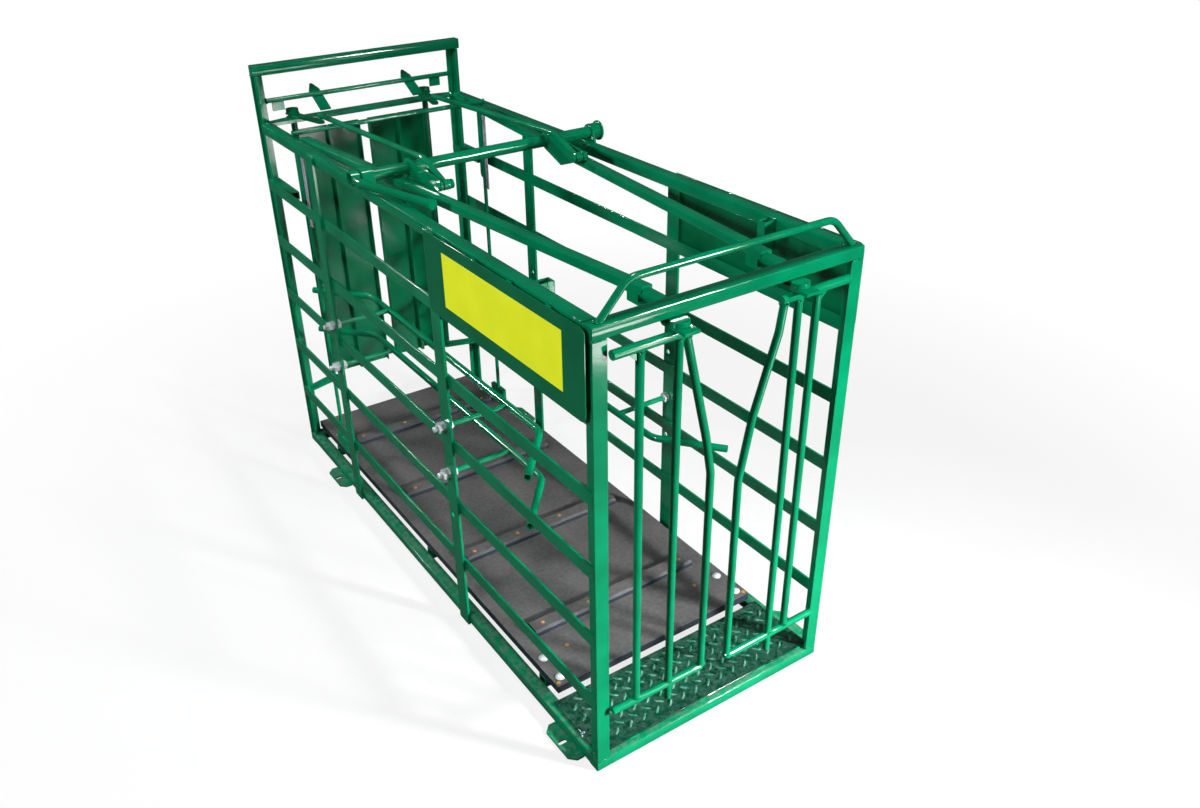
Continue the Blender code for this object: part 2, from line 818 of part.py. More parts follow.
def hinge_plate(sign):
    """Flat that drops under the front rail by a joggle and carries the gate's pin in its nose."""
    thick = hinge_thickness
    step_start = -inner_y - hinge_joggle / 2
    step_end = step_start - hinge_joggle
    nose_y = gate_plane_y - hinge_nose
    upper = hinge_top
    lower = hinge_nose_top
    profile = [(hinge_rear_y, upper), (step_start, upper), (step_end, lower), (nose_y, lower),
               (nose_y, lower - thick), (step_end + thick / 2, lower - thick),
               (step_start + thick / 2, upper - thick), (hinge_rear_y, upper - thick)]
    x = sign * top_bar_front_x
    plate = slab("hinge", profile, "X", x - hinge_width / 2, hinge_width)
    hole = rod("hole", ((x, gate_plane_y, lower - 2 * thick), (x, gate_plane_y, lower + thick)),
               gate_pin_radius + 2 * gap, (1, 0, 0), sides=16)
    seat = box("seat", (x - hinge_width / 2, hinge_rear_y - hinge_width, upper - thick / 2),
               (x + hinge_width / 2, hinge_rear_y, top_bar_top - top_bar_height + tube_corner))
    return fuse(cut(plate, hole), seat)


def make_tie():
    """Round tie bar over the side rails and the slim rods that hang from it down to the floor."""
    z = frame_height + gap + tie_bar_radius
    reach = inner_x + tie_bar_bearing
    rod("tie_bar", ((-reach, tie_bar_y, z), (reach, tie_bar_y, z)), tie_bar_radius, (0, 1, 0))
    for sign, word in ((-1, "left"), (1, "right")):
        x = sign * (inner_x - gap - drop_rod_radius)
        top = z - tie_bar_radius - gap
        foot = mat_top + gap
        start = (x, tie_bar_y, foot + drop_foot_height / 2)
        hanging = rod(f"drop_rod_{word}", (start, (x, tie_bar_y, top)), drop_rod_radius, (0, 1, 0))
        half = drop_foot_width / 2
        block = box("foot", (x - half, tie_bar_y - drop_foot_length / 2, foot),
                    (x + half, tie_bar_y + drop_foot_length / 2, foot + drop_foot_height))
        face = sign * (inner_x - gap)
        inner_face = face - sign * hanger_thickness
        middle = tie_bar_y + (drop_rod_radius + hanger_width) / 2
        spots = [(middle + u, v) for u, v in strip_outline()]
        strip = slab("strip", spots, "X", min(face, inner_face), hanger_thickness)
        fuse(hanging, block, strip)


def strip_outline():
    """Upright strip with a round lower end."""
    half = hanger_width / 2
    low = hanger_top - hanger_length + half
    return [(half, hanger_top), (-half, hanger_top)] + arc((0, low), half, 180, 360, 8)


def make_gate(name, pivot_x, outer_x, second_x, foot_z, pivot_foot, bend, neck_lift=0):
    """Half gate of round bar: pivot bar, outer wing, and the inner bar that is bent for the neck.

    The bend's points are given by their place across the crate and their drop from the top of the gate.
    """
    y = gate_plane_y
    top_z = gate_bar_top - gate_arm_radius
    sign = 1 if outer_x > pivot_x else -1
    inner_top_x = bend[0][0]
    neck_x = bend[-1][0]
    neck = [(x, y, gate_bar_top - drop) for x, drop in bend] + [(neck_x, y, foot_z + neck_lift)]
    gate = rod(name, ((pivot_x, y, pivot_foot), (pivot_x, y, gate_bar_top)), gate_bar_radius, (1, 0, 0))
    pin_top = hinge_nose_top + gate_gap
    pieces = [
        rod("pin", ((pivot_x, y, gate_bar_top - gate_bar_radius), (pivot_x, y, pin_top + gate_gap)),
            gate_pin_radius, (1, 0, 0), sides=16),
        rod("head", ((pivot_x, y, pin_top), (pivot_x, y, pin_top + gate_head_height)), gate_head_radius,
            (1, 0, 0), sides=24),
        rod("arm", ((outer_x, y, top_z), (inner_top_x - sign * gate_bar_radius, y, top_z)), gate_arm_radius),
        rod("foot", ((outer_x, y, foot_z), (neck_x, y, foot_z)), gate_bar_radius),
        rod("second", ((second_x, y, foot_z), (second_x, y, top_z)), gate_bar_radius, (1, 0, 0)),
        rod("neck", bent(neck, gate_bend_radius, 3), gate_bar_radius, (0, 1, 0)),
    ]
    corner_x = second_x + sign * gate_bar_radius / 2
    corner_z = top_z - gate_arm_radius / 2
    triangle = [(corner_x, corner_z), (corner_x + sign * gusset_size, corner_z),
                (corner_x, corner_z - gusset_size)]
    pieces.append(slab("gusset", triangle, "Y", y - gusset_thickness / 2, gusset_thickness))
    place(fuse(gate, *pieces), (pivot_x, y, 0))


def make_exit_gates():
    make_gate("exit_gate_left", -top_bar_front_x, gate_left_outer_x, gate_left_post_x, gate_left_foot_z,
              gate_left_pivot_foot, gate_left_bend, gate_left_neck_lift)
    make_gate("exit_gate_right", top_bar_front_x, gate_right_outer_x, gate_right_post_x, gate_right_foot_z,
              gate_right_pivot_foot, gate_right_bend)


def folded(points, thickness):
    """Outline of a folded sheet whose right-hand face follows the points."""
    count = len(points)
    shifted = []
    for i, point in enumerate(points):
        here = Vector(point)
        before = (here - Vector(points[max(i - 1, 0)])).normalized()
        after = (Vector(points[min(i + 1, count - 1)]) - here).normalized()
        if i == 0:
            before = after
        if i == count - 1:
            after = before
        left = Vector((-before.y - after.y, before.x + after.x)).normalized()
        half = math.cos(before.angle(after) / 2) if before.length else 1
        shifted.append(tuple(here + left * thickness / half))
    return list(points) + shifted[::-1]


def make_door(sign, word):
    """Pressed door: two folded fields with flanges towards the inside, on a shaft with head and crank arm."""
    shaft_x = door_pivot_x
    hinge_edge = door_pivot_x - door_shaft_radius / 2
    free_edge = door_centre_gap / 2
    middle = (hinge_edge + free_edge) / 2
    rib = door_rib_width / 2
    back = door_pivot_y + door_sheet / 2
    front = back - door_flange
    edge_front = door_pivot_y - door_sheet
    line = [(hinge_edge, edge_front), (hinge_edge, back), (middle + rib, back), (middle + rib, front),
            (middle - rib, front), (middle - rib, back), (free_edge, back), (free_edge, front)]
    panel = slab("panel", [(sign * u, v) for u, v in folded(line, -door_sheet)], "Z", door_panel_base,
                 door_panel_top - door_panel_base)
    shaft_foot = door_bracket_base + door_bracket_thickness + 2 * gap
    x = sign * shaft_x
    y = door_pivot_y
    door = rod(f"entry_door_{word}", ((x, y, shaft_foot), (x, y, door_arm_base + gap)), door_shaft_radius,
               (1, 0, 0), sides=16)
    tip = (link_x, door_arm_tip_y, door_arm_tip_radius)
    boss = (door_pivot_x, door_pivot_y, door_arm_width / 2)
    arm = slab("arm", [(sign * u, v) for u, v in hull([tip, boss])], "Z", door_arm_base, door_arm_thickness)
    stud_top = link_rear_z - link_radius - link_pivot_gap
    pieces = [
        panel,
        arm,
        rod("pin", ((x, y, door_bracket_base - door_bracket_thickness), (x, y, shaft_foot + gap)),
            door_pin_radius, (1, 0, 0), sides=16),
        rod("head", ((x, y, door_arm_top - gap), (x, y, door_arm_top + door_head_height)), door_head_radius,
            (1, 0, 0), sides=20),
        rod("stud", ((sign * tip[0], tip[1], door_arm_base + gap), (sign * tip[0], tip[1], stud_top)),
            door_stud_radius, (1, 0, 0)),
    ]
    place(fuse(door, *pieces), (x, y, 0))


def make_lever():
    """Cross shaft with both crank plates and its end cap, and the handle on its left end."""
    right_x = half_width + gap + bearing_right_width + 2 * gap
    start = (shaft_left_x, shaft_y, shaft_z)
    cap_near = (right_x, shaft_y, shaft_z)
    cap_far = (right_x + cap_thickness, shaft_y, shaft_z)
    shaft = rod("lever_shaft", (start, cap_near), shaft_radius, sides=24)
    pieces = [rod("cap", (cap_near, cap_far), cap_radius, sides=24)]
    boss = (shaft_y, shaft_z, crank_boss)
    pin = (pin_y, pin_z, crank_pin_boss)
    corner = (crank_corner_y, crank_corner_z, crank_corner_radius)
    outline = hull([boss, pin, corner])
    for sign in (-1, 1):
        base = crank_inner_x if sign > 0 else -crank_inner_x - crank_thickness
        plate = slab("crank", outline, "X", base, crank_thickness)
        through = ((base - crank_thickness, pin_y, pin_z), (base + 2 * crank_thickness, pin_y, pin_z))
        hole = rod("hole", through, pin_hole_radius, (0, 1, 0), sides=16)
        pieces.append(cut(plate, hole))
    bore_start = (shaft_left_x - shaft_radius, shaft_y, shaft_z)
    bore_end = (right_x - shaft_wall, shaft_y, shaft_z)
    bore = rod("bore", (bore_start, bore_end), shaft_radius - shaft_wall, sides=16)
    place(cut(fuse(shaft, *pieces), bore), (0, shaft_y, shaft_z))
    make_handle()


def make_handle():
    """Bent tube handle welded to a collar that fits over the shaft's left end."""
    rest_z = frame_height + gap + handle_radius
    points = ((handle_root_x, shaft_y - shaft_radius / 2, shaft_z), (handle_root_x, handle_knee_y, shaft_z),
              (handle_end_x, handle_end_y, rest_z))
    handle = rod("lever_handle", bent(points, handle_bend), handle_radius)
    heading = (Vector(points[2]) - Vector(points[1])).normalized()
    end = Vector(points[2])
    cap = rod("cap", (end - heading * handle_cap_thickness, end + heading * handle_cap_thickness),
              handle_cap_radius, sides=16)
    half = handle_radius - gap
    width = ((handle_root_x - half, shaft_y, shaft_z), (handle_root_x + half, shaft_y, shaft_z))
    through = ((handle_root_x - 3 * half, shaft_y, shaft_z), (handle_root_x + 3 * half, shaft_y, shaft_z))
    collar = rod("collar", width, shaft_radius + collar_wall, sides=24)
    bore = rod("bore", through, shaft_radius + gap, sides=24)
    place(cut(fuse(handle, cap, collar), bore), (0, shaft_y, shaft_z))


def make_bearings():
    """Bored bearings: a saddle on the left top rail, and a bolted plate with a sleeve on the right."""
    ring = bearing_bore + bearing_wall
    top = frame_height + gap
    left_outline = [(shaft_y + bearing_foot, top), (shaft_y + bearing_foot, top + bearing_wall)]
    left_outline += arc((shaft_y, shaft_z), ring, 0, 180, 10)
    left_outline += [(shaft_y - bearing_foot, top + bearing_wall), (shaft_y - bearing_foot, top)]
    near = -post_x - bearing_left_width / 2
    saddle = slab("shaft_bearing_left", left_outline, "X", near, bearing_left_width)
    cut(saddle, bearing_hole())
    low = top_rail_base
    side = half_width + gap
    right_outline = [(shaft_y + bearing_foot, low), (shaft_y + bearing_foot, frame_height)]
    right_outline += arc((shaft_y, shaft_z), ring, 0, 180, 10)
    right_outline += [(shaft_y - bearing_foot, frame_height), (shaft_y - bearing_foot, low)]
    plate = slab("shaft_bearing_right", right_outline, "X", side, bearing_wall)
    sleeve = rod("sleeve", ((side + gap, shaft_y, shaft_z), (side + bearing_right_width, shaft_y, shaft_z)),
                 ring - gap, (0, 0, 1), sides=24)
    cut(fuse(plate, sleeve), bearing_hole())


def bearing_hole():
    return rod("bore", ((-crate_width, shaft_y, shaft_z), (crate_width, shaft_y, shaft_z)), bearing_bore,
               (0, 0, 1), sides=24)


def make_link(sign, word):
    """Link rod that passes over the shaft, with a slotted eye at its crank end, and the pin it rocks on."""
    x = sign * link_x
    points = ((x, pin_y, pin_z), (x, link_knee_y, link_knee_z), (x, link_mid_y, link_mid_z),
              (x, door_arm_tip_y + link_overhang, link_rear_z))
    link = rod(f"link_rod_{word}", bent(points, link_bend, 3), link_radius, (1, 0, 0))
    eye = rod("eye", ((x - link_eye_half, pin_y, pin_z), (x + link_eye_half, pin_y, pin_z)), link_eye_radius,
              (0, 1, 0), sides=20)
    slot_ends = [(pin_y + end * link_eye_slot, pin_z, pin_hole_radius) for end in (-1, 1)]
    slot = slab("slot", hull(slot_ends, 8), "X", x - 3 * link_radius, 6 * link_radius)
    place(cut(fuse(link, eye), slot), (x, pin_y, pin_z))
    inner = sign * (link_x - link_eye_half - pin_side_play)
    outer = sign * (crank_inner_x + crank_thickness + gap)
    nut_inner = inner - sign * pin_nut_width
    head_outer = outer + sign * pin_nut_width
    pin_ends = ((nut_inner, pin_y, pin_z), (head_outer, pin_y, pin_z))
    pin = rod(f"link_pin_{word}", pin_ends, pin_radius, (0, 1, 0), sides=16, look=ZINC)
    collar_near = sign * (crank_inner_x - gap)
    collar_far = collar_near - sign * (pin_collar_width - gap)
    pieces = [
        rod("nut", ((nut_inner + sign * gap, pin_y, pin_z), (inner, pin_y, pin_z)), pin_nut_radius, (0, 1, 0),
            sides=6, look=ZINC),
        rod("head", ((outer, pin_y, pin_z), (head_outer - sign * gap, pin_y, pin_z)), pin_nut_radius,
            (0, 1, 0), sides=6, look=ZINC),
        rod("collar", ((collar_far, pin_y, pin_z), (collar_near, pin_y, pin_z)), pin_collar_radius, (0, 1, 0),
            sides=16, look=ZINC),
    ]
    place(fuse(pin, *pieces), (x, pin_y, pin_z))


def make_adjuster(name, sign, run_x, z):
    """Inner side bar of round tube with flared ends, on two studs that slide through the flats."""
    end_x = sign * adjuster_end_x
    points = ((end_x, adjuster_front_y - adjuster_run_out, z), (run_x, adjuster_front_y, z),
              (run_x, adjuster_rear_y, z), (end_x, adjuster_rear_y + adjuster_run_out, z))
    bar = rod(name, bent(points, adjuster_bend), adjuster_radius, (0, 0, 1), adjuster_radius - adjuster_wall)
    inner = run_x + sign * (adjuster_radius - 2 * adjuster_wall / 3)
    outer = sign * (half_width + stud_overhang)
    studs = [rod("stud", ((inner, y, z), (outer, y, z)), stud_radius, (0, 0, 1)) for y in stud_y]
    place(fuse(bar, *studs), (run_x, 0, z))


make_base()
make_posts()
make_top_frame()
make_sides()
make_floor()
make_entry_top()
make_hoop()
make_top_bars()
make_tie()
make_exit_gates()
make_lever()
make_bearings()
for hand, hand_word in ((-1, "left"), (1, "right")):
    make_door(hand, hand_word)
    make_link(hand, hand_word)
make_adjuster("adjuster_left_lower", -1, adjuster_left_x, adjuster_left_z[0])
make_adjuster("adjuster_left_upper", -1, adjuster_left_x, adjuster_left_z[1])
make_adjuster("adjuster_right", 1, adjuster_right_x, adjuster_right_z)
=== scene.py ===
"""Looks of the sheep crate: enamelled steel frame, gates, doors and lever over a rubber floor board."""
import json
import math
import random

import bmesh
import bpy
from mathutils import Euler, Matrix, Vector


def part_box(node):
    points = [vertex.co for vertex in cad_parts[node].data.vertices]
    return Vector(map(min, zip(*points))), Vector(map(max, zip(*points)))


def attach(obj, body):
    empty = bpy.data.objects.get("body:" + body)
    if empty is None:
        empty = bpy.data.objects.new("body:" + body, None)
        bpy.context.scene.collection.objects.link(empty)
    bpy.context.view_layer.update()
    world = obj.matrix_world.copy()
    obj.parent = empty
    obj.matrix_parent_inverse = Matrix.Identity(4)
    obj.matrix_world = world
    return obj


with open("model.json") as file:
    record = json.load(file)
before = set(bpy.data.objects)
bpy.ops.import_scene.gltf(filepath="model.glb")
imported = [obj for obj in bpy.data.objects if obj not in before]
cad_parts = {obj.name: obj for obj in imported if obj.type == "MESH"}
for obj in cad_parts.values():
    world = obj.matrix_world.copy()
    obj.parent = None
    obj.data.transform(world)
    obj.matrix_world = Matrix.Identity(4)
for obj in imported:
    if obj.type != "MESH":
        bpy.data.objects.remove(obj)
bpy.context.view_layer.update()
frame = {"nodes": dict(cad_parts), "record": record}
draws = random.Random(4270)

MM = 0.001

# Camera, fitted to the frame's corners in the photograph
PHOTO_WIDTH = 1200
PHOTO_HEIGHT = 808
SENSOR_WIDTH_MM = 36
CAMERA_PLACE = (-1.0445, -1.8776, 1.5845)
CAMERA_TURN = (1.05114, 0.02235, -0.58173)
FOCAL_PIXELS = 1026.5
OPTICAL_CENTRE = (571.6, 406.9)

# Places on the frame, as its record and its nodes give them
SIGNS = (-1, 1)
SIDES = ((-1, "left"), (1, "right"))
ENDS = ("front", "rear")
X_AXIS = (1, 0, 0)
Z_AXIS = (0, 0, 1)
RAIL_COUNT = 5
HALF_WIDTH = 0.285
HALF_LENGTH = 0.750
POST_SIZE = 0.028
POST_LEG = 0.006
INNER_X = HALF_WIDTH - POST_SIZE
INNER_Y = HALF_LENGTH - POST_SIZE
BASE_TOP = 0.024
TOP_BASE = 0.914
FRAME_TOP = 0.938
HEADER_BASE = 1.053
MAT_TOP = 0.0548
SHAFT_Y = 0.1
SHAFT_Z = 0.955

# How a node's skin is cleaned and its edges are broken; angles in degrees
SKIN_GAP = 0.01 * MM
FLAT_ANGLE = 0.5
SHARP_ANGLE = 38
EDGE_WIDTH = 0.8 * MM

# Weld beads: radii, how deep they sit in a face and how far they stop short of a corner
WELD = 2.0 * MM
FINE_WELD = WELD * 0.7
THIN_WELD = WELD * 0.8
LIGHT_WELD = WELD * 0.9
STOUT_WELD = WELD * 1.1
HEAVY_WELD = WELD * 1.2
SUNK = 1 * MM
SHORT = 2 * MM

# How a bead is laid: its sides, its ripples' length, and its wander as shares of its radius
BEAD_SIDES = 7
RIPPLE = 2.6 * MM
RINGS_PER_RIPPLE = 3
BEAD_WANDER = 0.07
BEAD_SWAY = 0.12
RING_STEP = 2.2 * MM
RING_OVERLAP = 0.35

# Radius and thickness of the beads round bars and shafts
HOOP_BEAD = (7.2 * MM, 1.8 * MM)
STOP_BAR_BEAD = (6.4 * MM, 1.6 * MM)
TIE_BAR_BEAD = (5.8 * MM, 1.5 * MM)
GATE_BAR_BEAD = (7.4 * MM, 1.9 * MM)
GATE_PIVOT_BEAD = (6.4 * MM, 1.5 * MM)
CRANK_BEAD = (13.6 * MM, 1.9 * MM)
HANDLE_BEAD = (13.4 * MM, 1.7 * MM)

# Where the beads of the sides and corners lie; a pair is a bead's reach to the front and to the rear
RAIL_EDGE_X = HALF_WIDTH - 5.5 * MM
RAIL_EDGE_BEAD = 12 * MM
UPRIGHT_EDGE_GAP = 4 * MM
LEDGE_BEAD = (9 * MM, 11 * MM)
UPRIGHT_FOOT_Z = 3 * MM
CORNER_BEAD = 7 * MM
TAB_BEAD_SHARES = (0.06, 0.36, 0.70)
TAB_BEAD_Z = 5.5 * MM
PANEL_BEADS_Y = (-0.640, -0.520, -0.400, -0.285)
PANEL_BEAD = (7 * MM, 9 * MM)
PANEL_BEAD_X = HALF_WIDTH + 7.5 * MM
PANEL_BEAD_Z = 0.9355

# Where the beads of the top and the floor lie
STITCH = 22 * MM
LONG_STITCH = 24 * MM
HOOP_FEET_X = (-0.2655, 0.2715)
HOOP_FEET_Y = -HALF_LENGTH + POST_SIZE / 2
HOOP_BEAD_Z = FRAME_TOP + 1.5 * MM
TREAD_FRONT_BEADS_X = (-0.20, -0.03, 0.13, 0.24)
TREAD_SIDE_BEADS_Y = (-0.69, -0.61)
TREAD_BEAD_DROP = 3 * MM
STOP_BAR_YZ = (0.744, 0.987)
CROSS_RAIL_Y = (0.724, 0.748)
CROSS_RAIL_Z = 0.936
TIE_BAR_END = (0.2618, 0.560, 0.9445)
TOP_BAR_FOOT_X = 0.2545
TOP_BAR_FOOT_Y = (0.505, 0.529)
SOCKET_Y = (-0.541 - 18 * MM, -0.541)
SOCKET_Z = FRAME_TOP - 2 * MM

# Gates: x of the pivot bar, second bar, neck bar's top and neck bar's foot, then the foot rail's height
GATE_BARS = {
    "left": (-0.127, -0.203, -0.112, -0.048, 0.152),
    "right": (0.127, 0.170, 0.094, 0.018, 0.143),
}
GATE_Y = -0.759
GATE_TOP = 0.8974
GATE_ARM_BEAD_Z = GATE_TOP - 8.5 * MM - 8.6 * MM
GATE_FOOT_BEAD_RISE = 7.6 * MM

# Doors: height, radius and thickness of the beads round each shaft, and the seam's places
DOOR_SHAFT_X = 0.188
DOOR_SHAFT_Y = 0.762
DOOR_COLLARS = ((0.9437, 16 * MM, 1.8 * MM), (0.9557, 8 * MM, 1.6 * MM))
DOOR_SEAM_X = 0.1835
DOOR_SEAM_Y = 0.7705 - 7.5 * MM
DOOR_SEAM_Z = (0.20, 0.36, 0.54, 0.72, 0.87)

# Lever: faces of the crank plates on the shaft, and the handle's joint with it
CRANK_FACES_X = (0.1696, 0.1750)
HANDLE_JOINT_X = -0.2885

# Lozenges of the tread plate: half their spacing in a row, their half length, half width, height and
# depth in the plate, points along one, the crest's share of the length, and steps to the first one
LOZENGE_STEP = 16.5 * MM
LOZENGE_HALF = 12.5 * MM
LOZENGE_WIDE = 3.6 * MM
LOZENGE_TALL = 2.4 * MM
LOZENGE_SUNK = 0.05 * MM
LOZENGE_POINTS = 7
LOZENGE_CREST = 0.86
FIRST_LOZENGE = (0.75, 0.7)

# Nut and washer profiles: shares of the radius and of the height
NUT_PROFILE = ((0.93, 0), (1, 0.14), (1, 0.82), (0.88, 1))
WASHER_PROFILE = ((0.97, 0), (1, 0.3), (1, 0.7), (0.97, 1))

# Adjusters: side and height of their studs, places along the crate, and nuts and threads
STUDS = {
    "adjuster_left_lower": (-1, 0.400),
    "adjuster_left_upper": (-1, 0.513),
    "adjuster_right": (1, 0.395),
}
STUDS_Y = (-0.215, 0.383)
LOCK_NUTS = ((HALF_WIDTH + 0.2 * MM, -1, 9 * MM), (HALF_WIDTH + 6.4 * MM, 1, 14 * MM))
LOCK_NUT_FLATS = 21 * MM
STUD_WASHER_RADIUS = 11.5 * MM
STUD_WASHER_THICKNESS = 1.8 * MM
THREAD_START = HALF_WIDTH - 13 * MM
THREAD_RADIUS = 6.25 * MM
THREAD_LENGTH = 43.75 * MM
THREAD_PITCH = 1.75 * MM
STUD_END_START = 43.5 * MM
STUD_END = ((5.4 * MM, 0), (4.6 * MM, 1.0 * MM))

# Heads of bolts and screws: radius and height pairs
BOARD_BOLT_HEAD = ((8.2 * MM, 0), (7.6 * MM, 1.6 * MM), (5.2 * MM, 3.4 * MM), (2.0 * MM, 4.2 * MM))
CLEAT_SCREW_HEAD = ((4.6 * MM, 0), (4.2 * MM, 0.8 * MM), (2.4 * MM, 1.5 * MM))
BOARD_SCREW_HEAD = ((4.8 * MM, 0), (4.4 * MM, 0.9 * MM), (2.4 * MM, 1.6 * MM))

# Where the bolts and screws are
BOARD_BOLT_X = 0.2365
BOARD_BOLTS_Y = (-0.5445, -0.479, 0.567, 0.633)
BOARD_WASHER_RADIUS = 10.5 * MM
BOARD_WASHER_THICKNESS = 1.5 * MM
BOARD_BOLT_RISE = 1.2 * MM
CLEATS_Y = (-0.418, -0.109, 0.218, 0.540)
CLEAT_SCREWS_X = (-0.19, -0.065, 0.06, 0.185)
CLEAT_SCREW_INSET = 0.020
CLEAT_SCREW_STRAY_MM = (6, 3)
CLEAT_HEIGHT = 14.9 * MM
BOARD_SCREWS = ((-0.174, -0.474), (-0.249, -0.5575), (0.173, -0.476), (0.249, -0.5565))
BOARD_SCREW_SUNK = 0.1 * MM
BEARING_BOLT_X = HALF_WIDTH + 5.2 * MM
BEARING_BOLT_REACH = 18 * MM
BEARING_BOLT_Z = 0.923
BEARING_BOLT_FLATS = 10 * MM
BEARING_BOLT_HEIGHT = 5 * MM

# Bright drops, painted glints on the left top rail and bare weld metal at the front corners: a drop's
# least and greatest radius in millimetres, and each patch's middle, its spread in millimetres and its
# number of drops
DROP_RADII_MM = (0.7, 1.9)
GLINTS_AND_SPATTER = (
    ((-HALF_WIDTH + 1.5 * MM, -0.222, FRAME_TOP - 1.2 * MM), (2.2, 15.0, 1.0), 22),
    ((-HALF_WIDTH + 1.0 * MM, -0.708, FRAME_TOP - 1.0 * MM), (1.5, 8.0, 1.0), 8),
    ((-HALF_WIDTH + 14.0 * MM, -HALF_LENGTH + 1.0 * MM, BASE_TOP), (9.0, 1.0, 1.5), 10),
    ((HALF_WIDTH - 13.0 * MM, -HALF_LENGTH + 2.0 * MM, BASE_TOP), (8.0, 1.5, 1.5), 10),
    ((-HALF_WIDTH + 15.0 * MM, -0.673, BASE_TOP + 4.4 * MM), (5.0, 9.0, 0.4), 12),
)

# Yellow sheet on the left panel: its outer and inner face over the panel, and its place
SHEET_OUTSIDE = 0.35 * MM
SHEET_INSIDE = 0.02 * MM
SHEET_Y = (-0.681, -0.281)
SHEET_Z = (0.8045, 0.9115)

# Galvanised strips beside the slim rods
STRIP_X = 0.2512
STRIP_THICKNESS = 2.5 * MM
STRIP_Y = (0.5405, 0.5545)
STRIP_Z = (0.712, 0.912)

# Dark discs in the top bars' end tubes, painted shade of their hollow: place of the right one, and radius
# and depth pairs of a disc
BORE_PLACE = (0.127, -0.72155, 0.926)
BORE = ((9.2 * MM, 0), (9.0 * MM, 0.2 * MM))

# Lamps: name, place, size, power, the point each faces, and its spread in degrees
LAMPS = (
    ("key", (1.5, -3.0, 1.35), 0.26, 20, (0, -0.7, 0.0), 52),
    ("low_card", (0.72, -2.2, 0.15), 0.34, 3, (-0.2, -0.75, 0.85), 180),
    ("far_card", (1.65, -3.9, 0.35), 0.5, 3, (-0.1, 0.75, 1.06), 180),
    ("top", (0.6, -0.9, 3.9), 0.6, 34, (0, 0, 0.5), 180),
    ("fill", (-3.4, -0.6, 2.4), 0.5, 58, (0, 0, 0.5), 180),
    ("rim", (-1.5, 2.5, 1.9), 0.22, 34, (-0.2, 0, 0.6), 180),
)

# Floor and sky: the floor turns from FLOOR_NEAR_WHITE to pure white between its near and far distance
FLOOR_SIZE = 30
FLOOR_DROP = 0.2 * MM
FLOOR_NEAR = 0.9
FLOOR_FAR = 2.2
FLOOR_NEAR_WHITE = 0.80
SKY_LIGHT = 0.06
SKY_IN_GLOSS = 0.02
WHITE_IN_GLOSS = 0.02

# Sockets of a colour Mix node
MIX_SHARE = 0
MIX_FIRST = 6
MIX_SECOND = 7
MIX_RESULT = 2


def linear(code):
    """Linear colour from an sRGB hex value."""
    channels = [int(code[i:i + 2], 16) / 255 for i in (1, 3, 5)]
    return [c / 12.92 if c <= 0.04045 else ((c + 0.055) / 1.055) ** 2.4 for c in channels] + [1.0]


def add_node(tree, kind, settings=None, links=None):
    """Adds a node: a setting is one of its properties or an input's value, and a link feeds an input."""
    node = tree.nodes.new(kind)
    for name, value in (settings or {}).items():
        if isinstance(name, str) and hasattr(node, name):
            setattr(node, name, value)
        else:
            node.inputs[name].default_value = value
    for name, socket in (links or {}).items():
        tree.links.new(socket, node.inputs[name])
    return node


def new_material(name, ior=1.5, metallic=0.0, roughness=0.5):
    material = bpy.data.materials.new(name)
    material.use_nodes = True
    shader = material.node_tree.nodes["Principled BSDF"]
    shader.inputs["IOR"].default_value = ior
    shader.inputs["Metallic"].default_value = metallic
    shader.inputs["Roughness"].default_value = roughness
    return material, material.node_tree, shader


def per_metre(size_mm):
    """Scale of a noise whose features are about this many millimetres across."""
    return 1 / (size_mm * MM)


def mottled(tree, place, size_mm, first, second, detail=3, low=0.35, high=0.65):
    """Two colours blended by a noise."""
    noise = add_node(tree, "ShaderNodeTexNoise", {"Scale": per_metre(size_mm), "Detail": detail},
                     {"Vector": place})
    share = add_node(tree, "ShaderNodeMapRange", {"From Min": low, "From Max": high},
                     {"Value": noise.outputs["Fac"]})
    tone = add_node(tree, "ShaderNodeMix",
                    {"data_type": "RGBA", MIX_FIRST: linear(first), MIX_SECOND: linear(second)},
                    {MIX_SHARE: share.outputs["Result"]})
    return tone.outputs[MIX_RESULT]


def add_relief(tree, shader, place, size_mm, depth_mm, strength, detail, roughness=0.5):
    """Shallow bumps of this width and depth in a surface, as strong as the light shows them."""
    grain = add_node(tree, "ShaderNodeTexNoise",
                     {"Scale": per_metre(size_mm), "Detail": detail, "Roughness": roughness},
                     {"Vector": place})
    bump = add_node(tree, "ShaderNodeBump", {"Strength": strength, "Distance": depth_mm * MM},
                    {"Height": grain.outputs["Fac"]})
    tree.links.new(bump.outputs["Normal"], shader.inputs["Normal"])


def facing_up(tree):
    """How far a face looks up: 1 on a level top face."""
    normal = add_node(tree, "ShaderNodeNewGeometry").outputs["Normal"]
    return add_node(tree, "ShaderNodeSeparateXYZ", {}, {0: normal}).outputs["Z"]


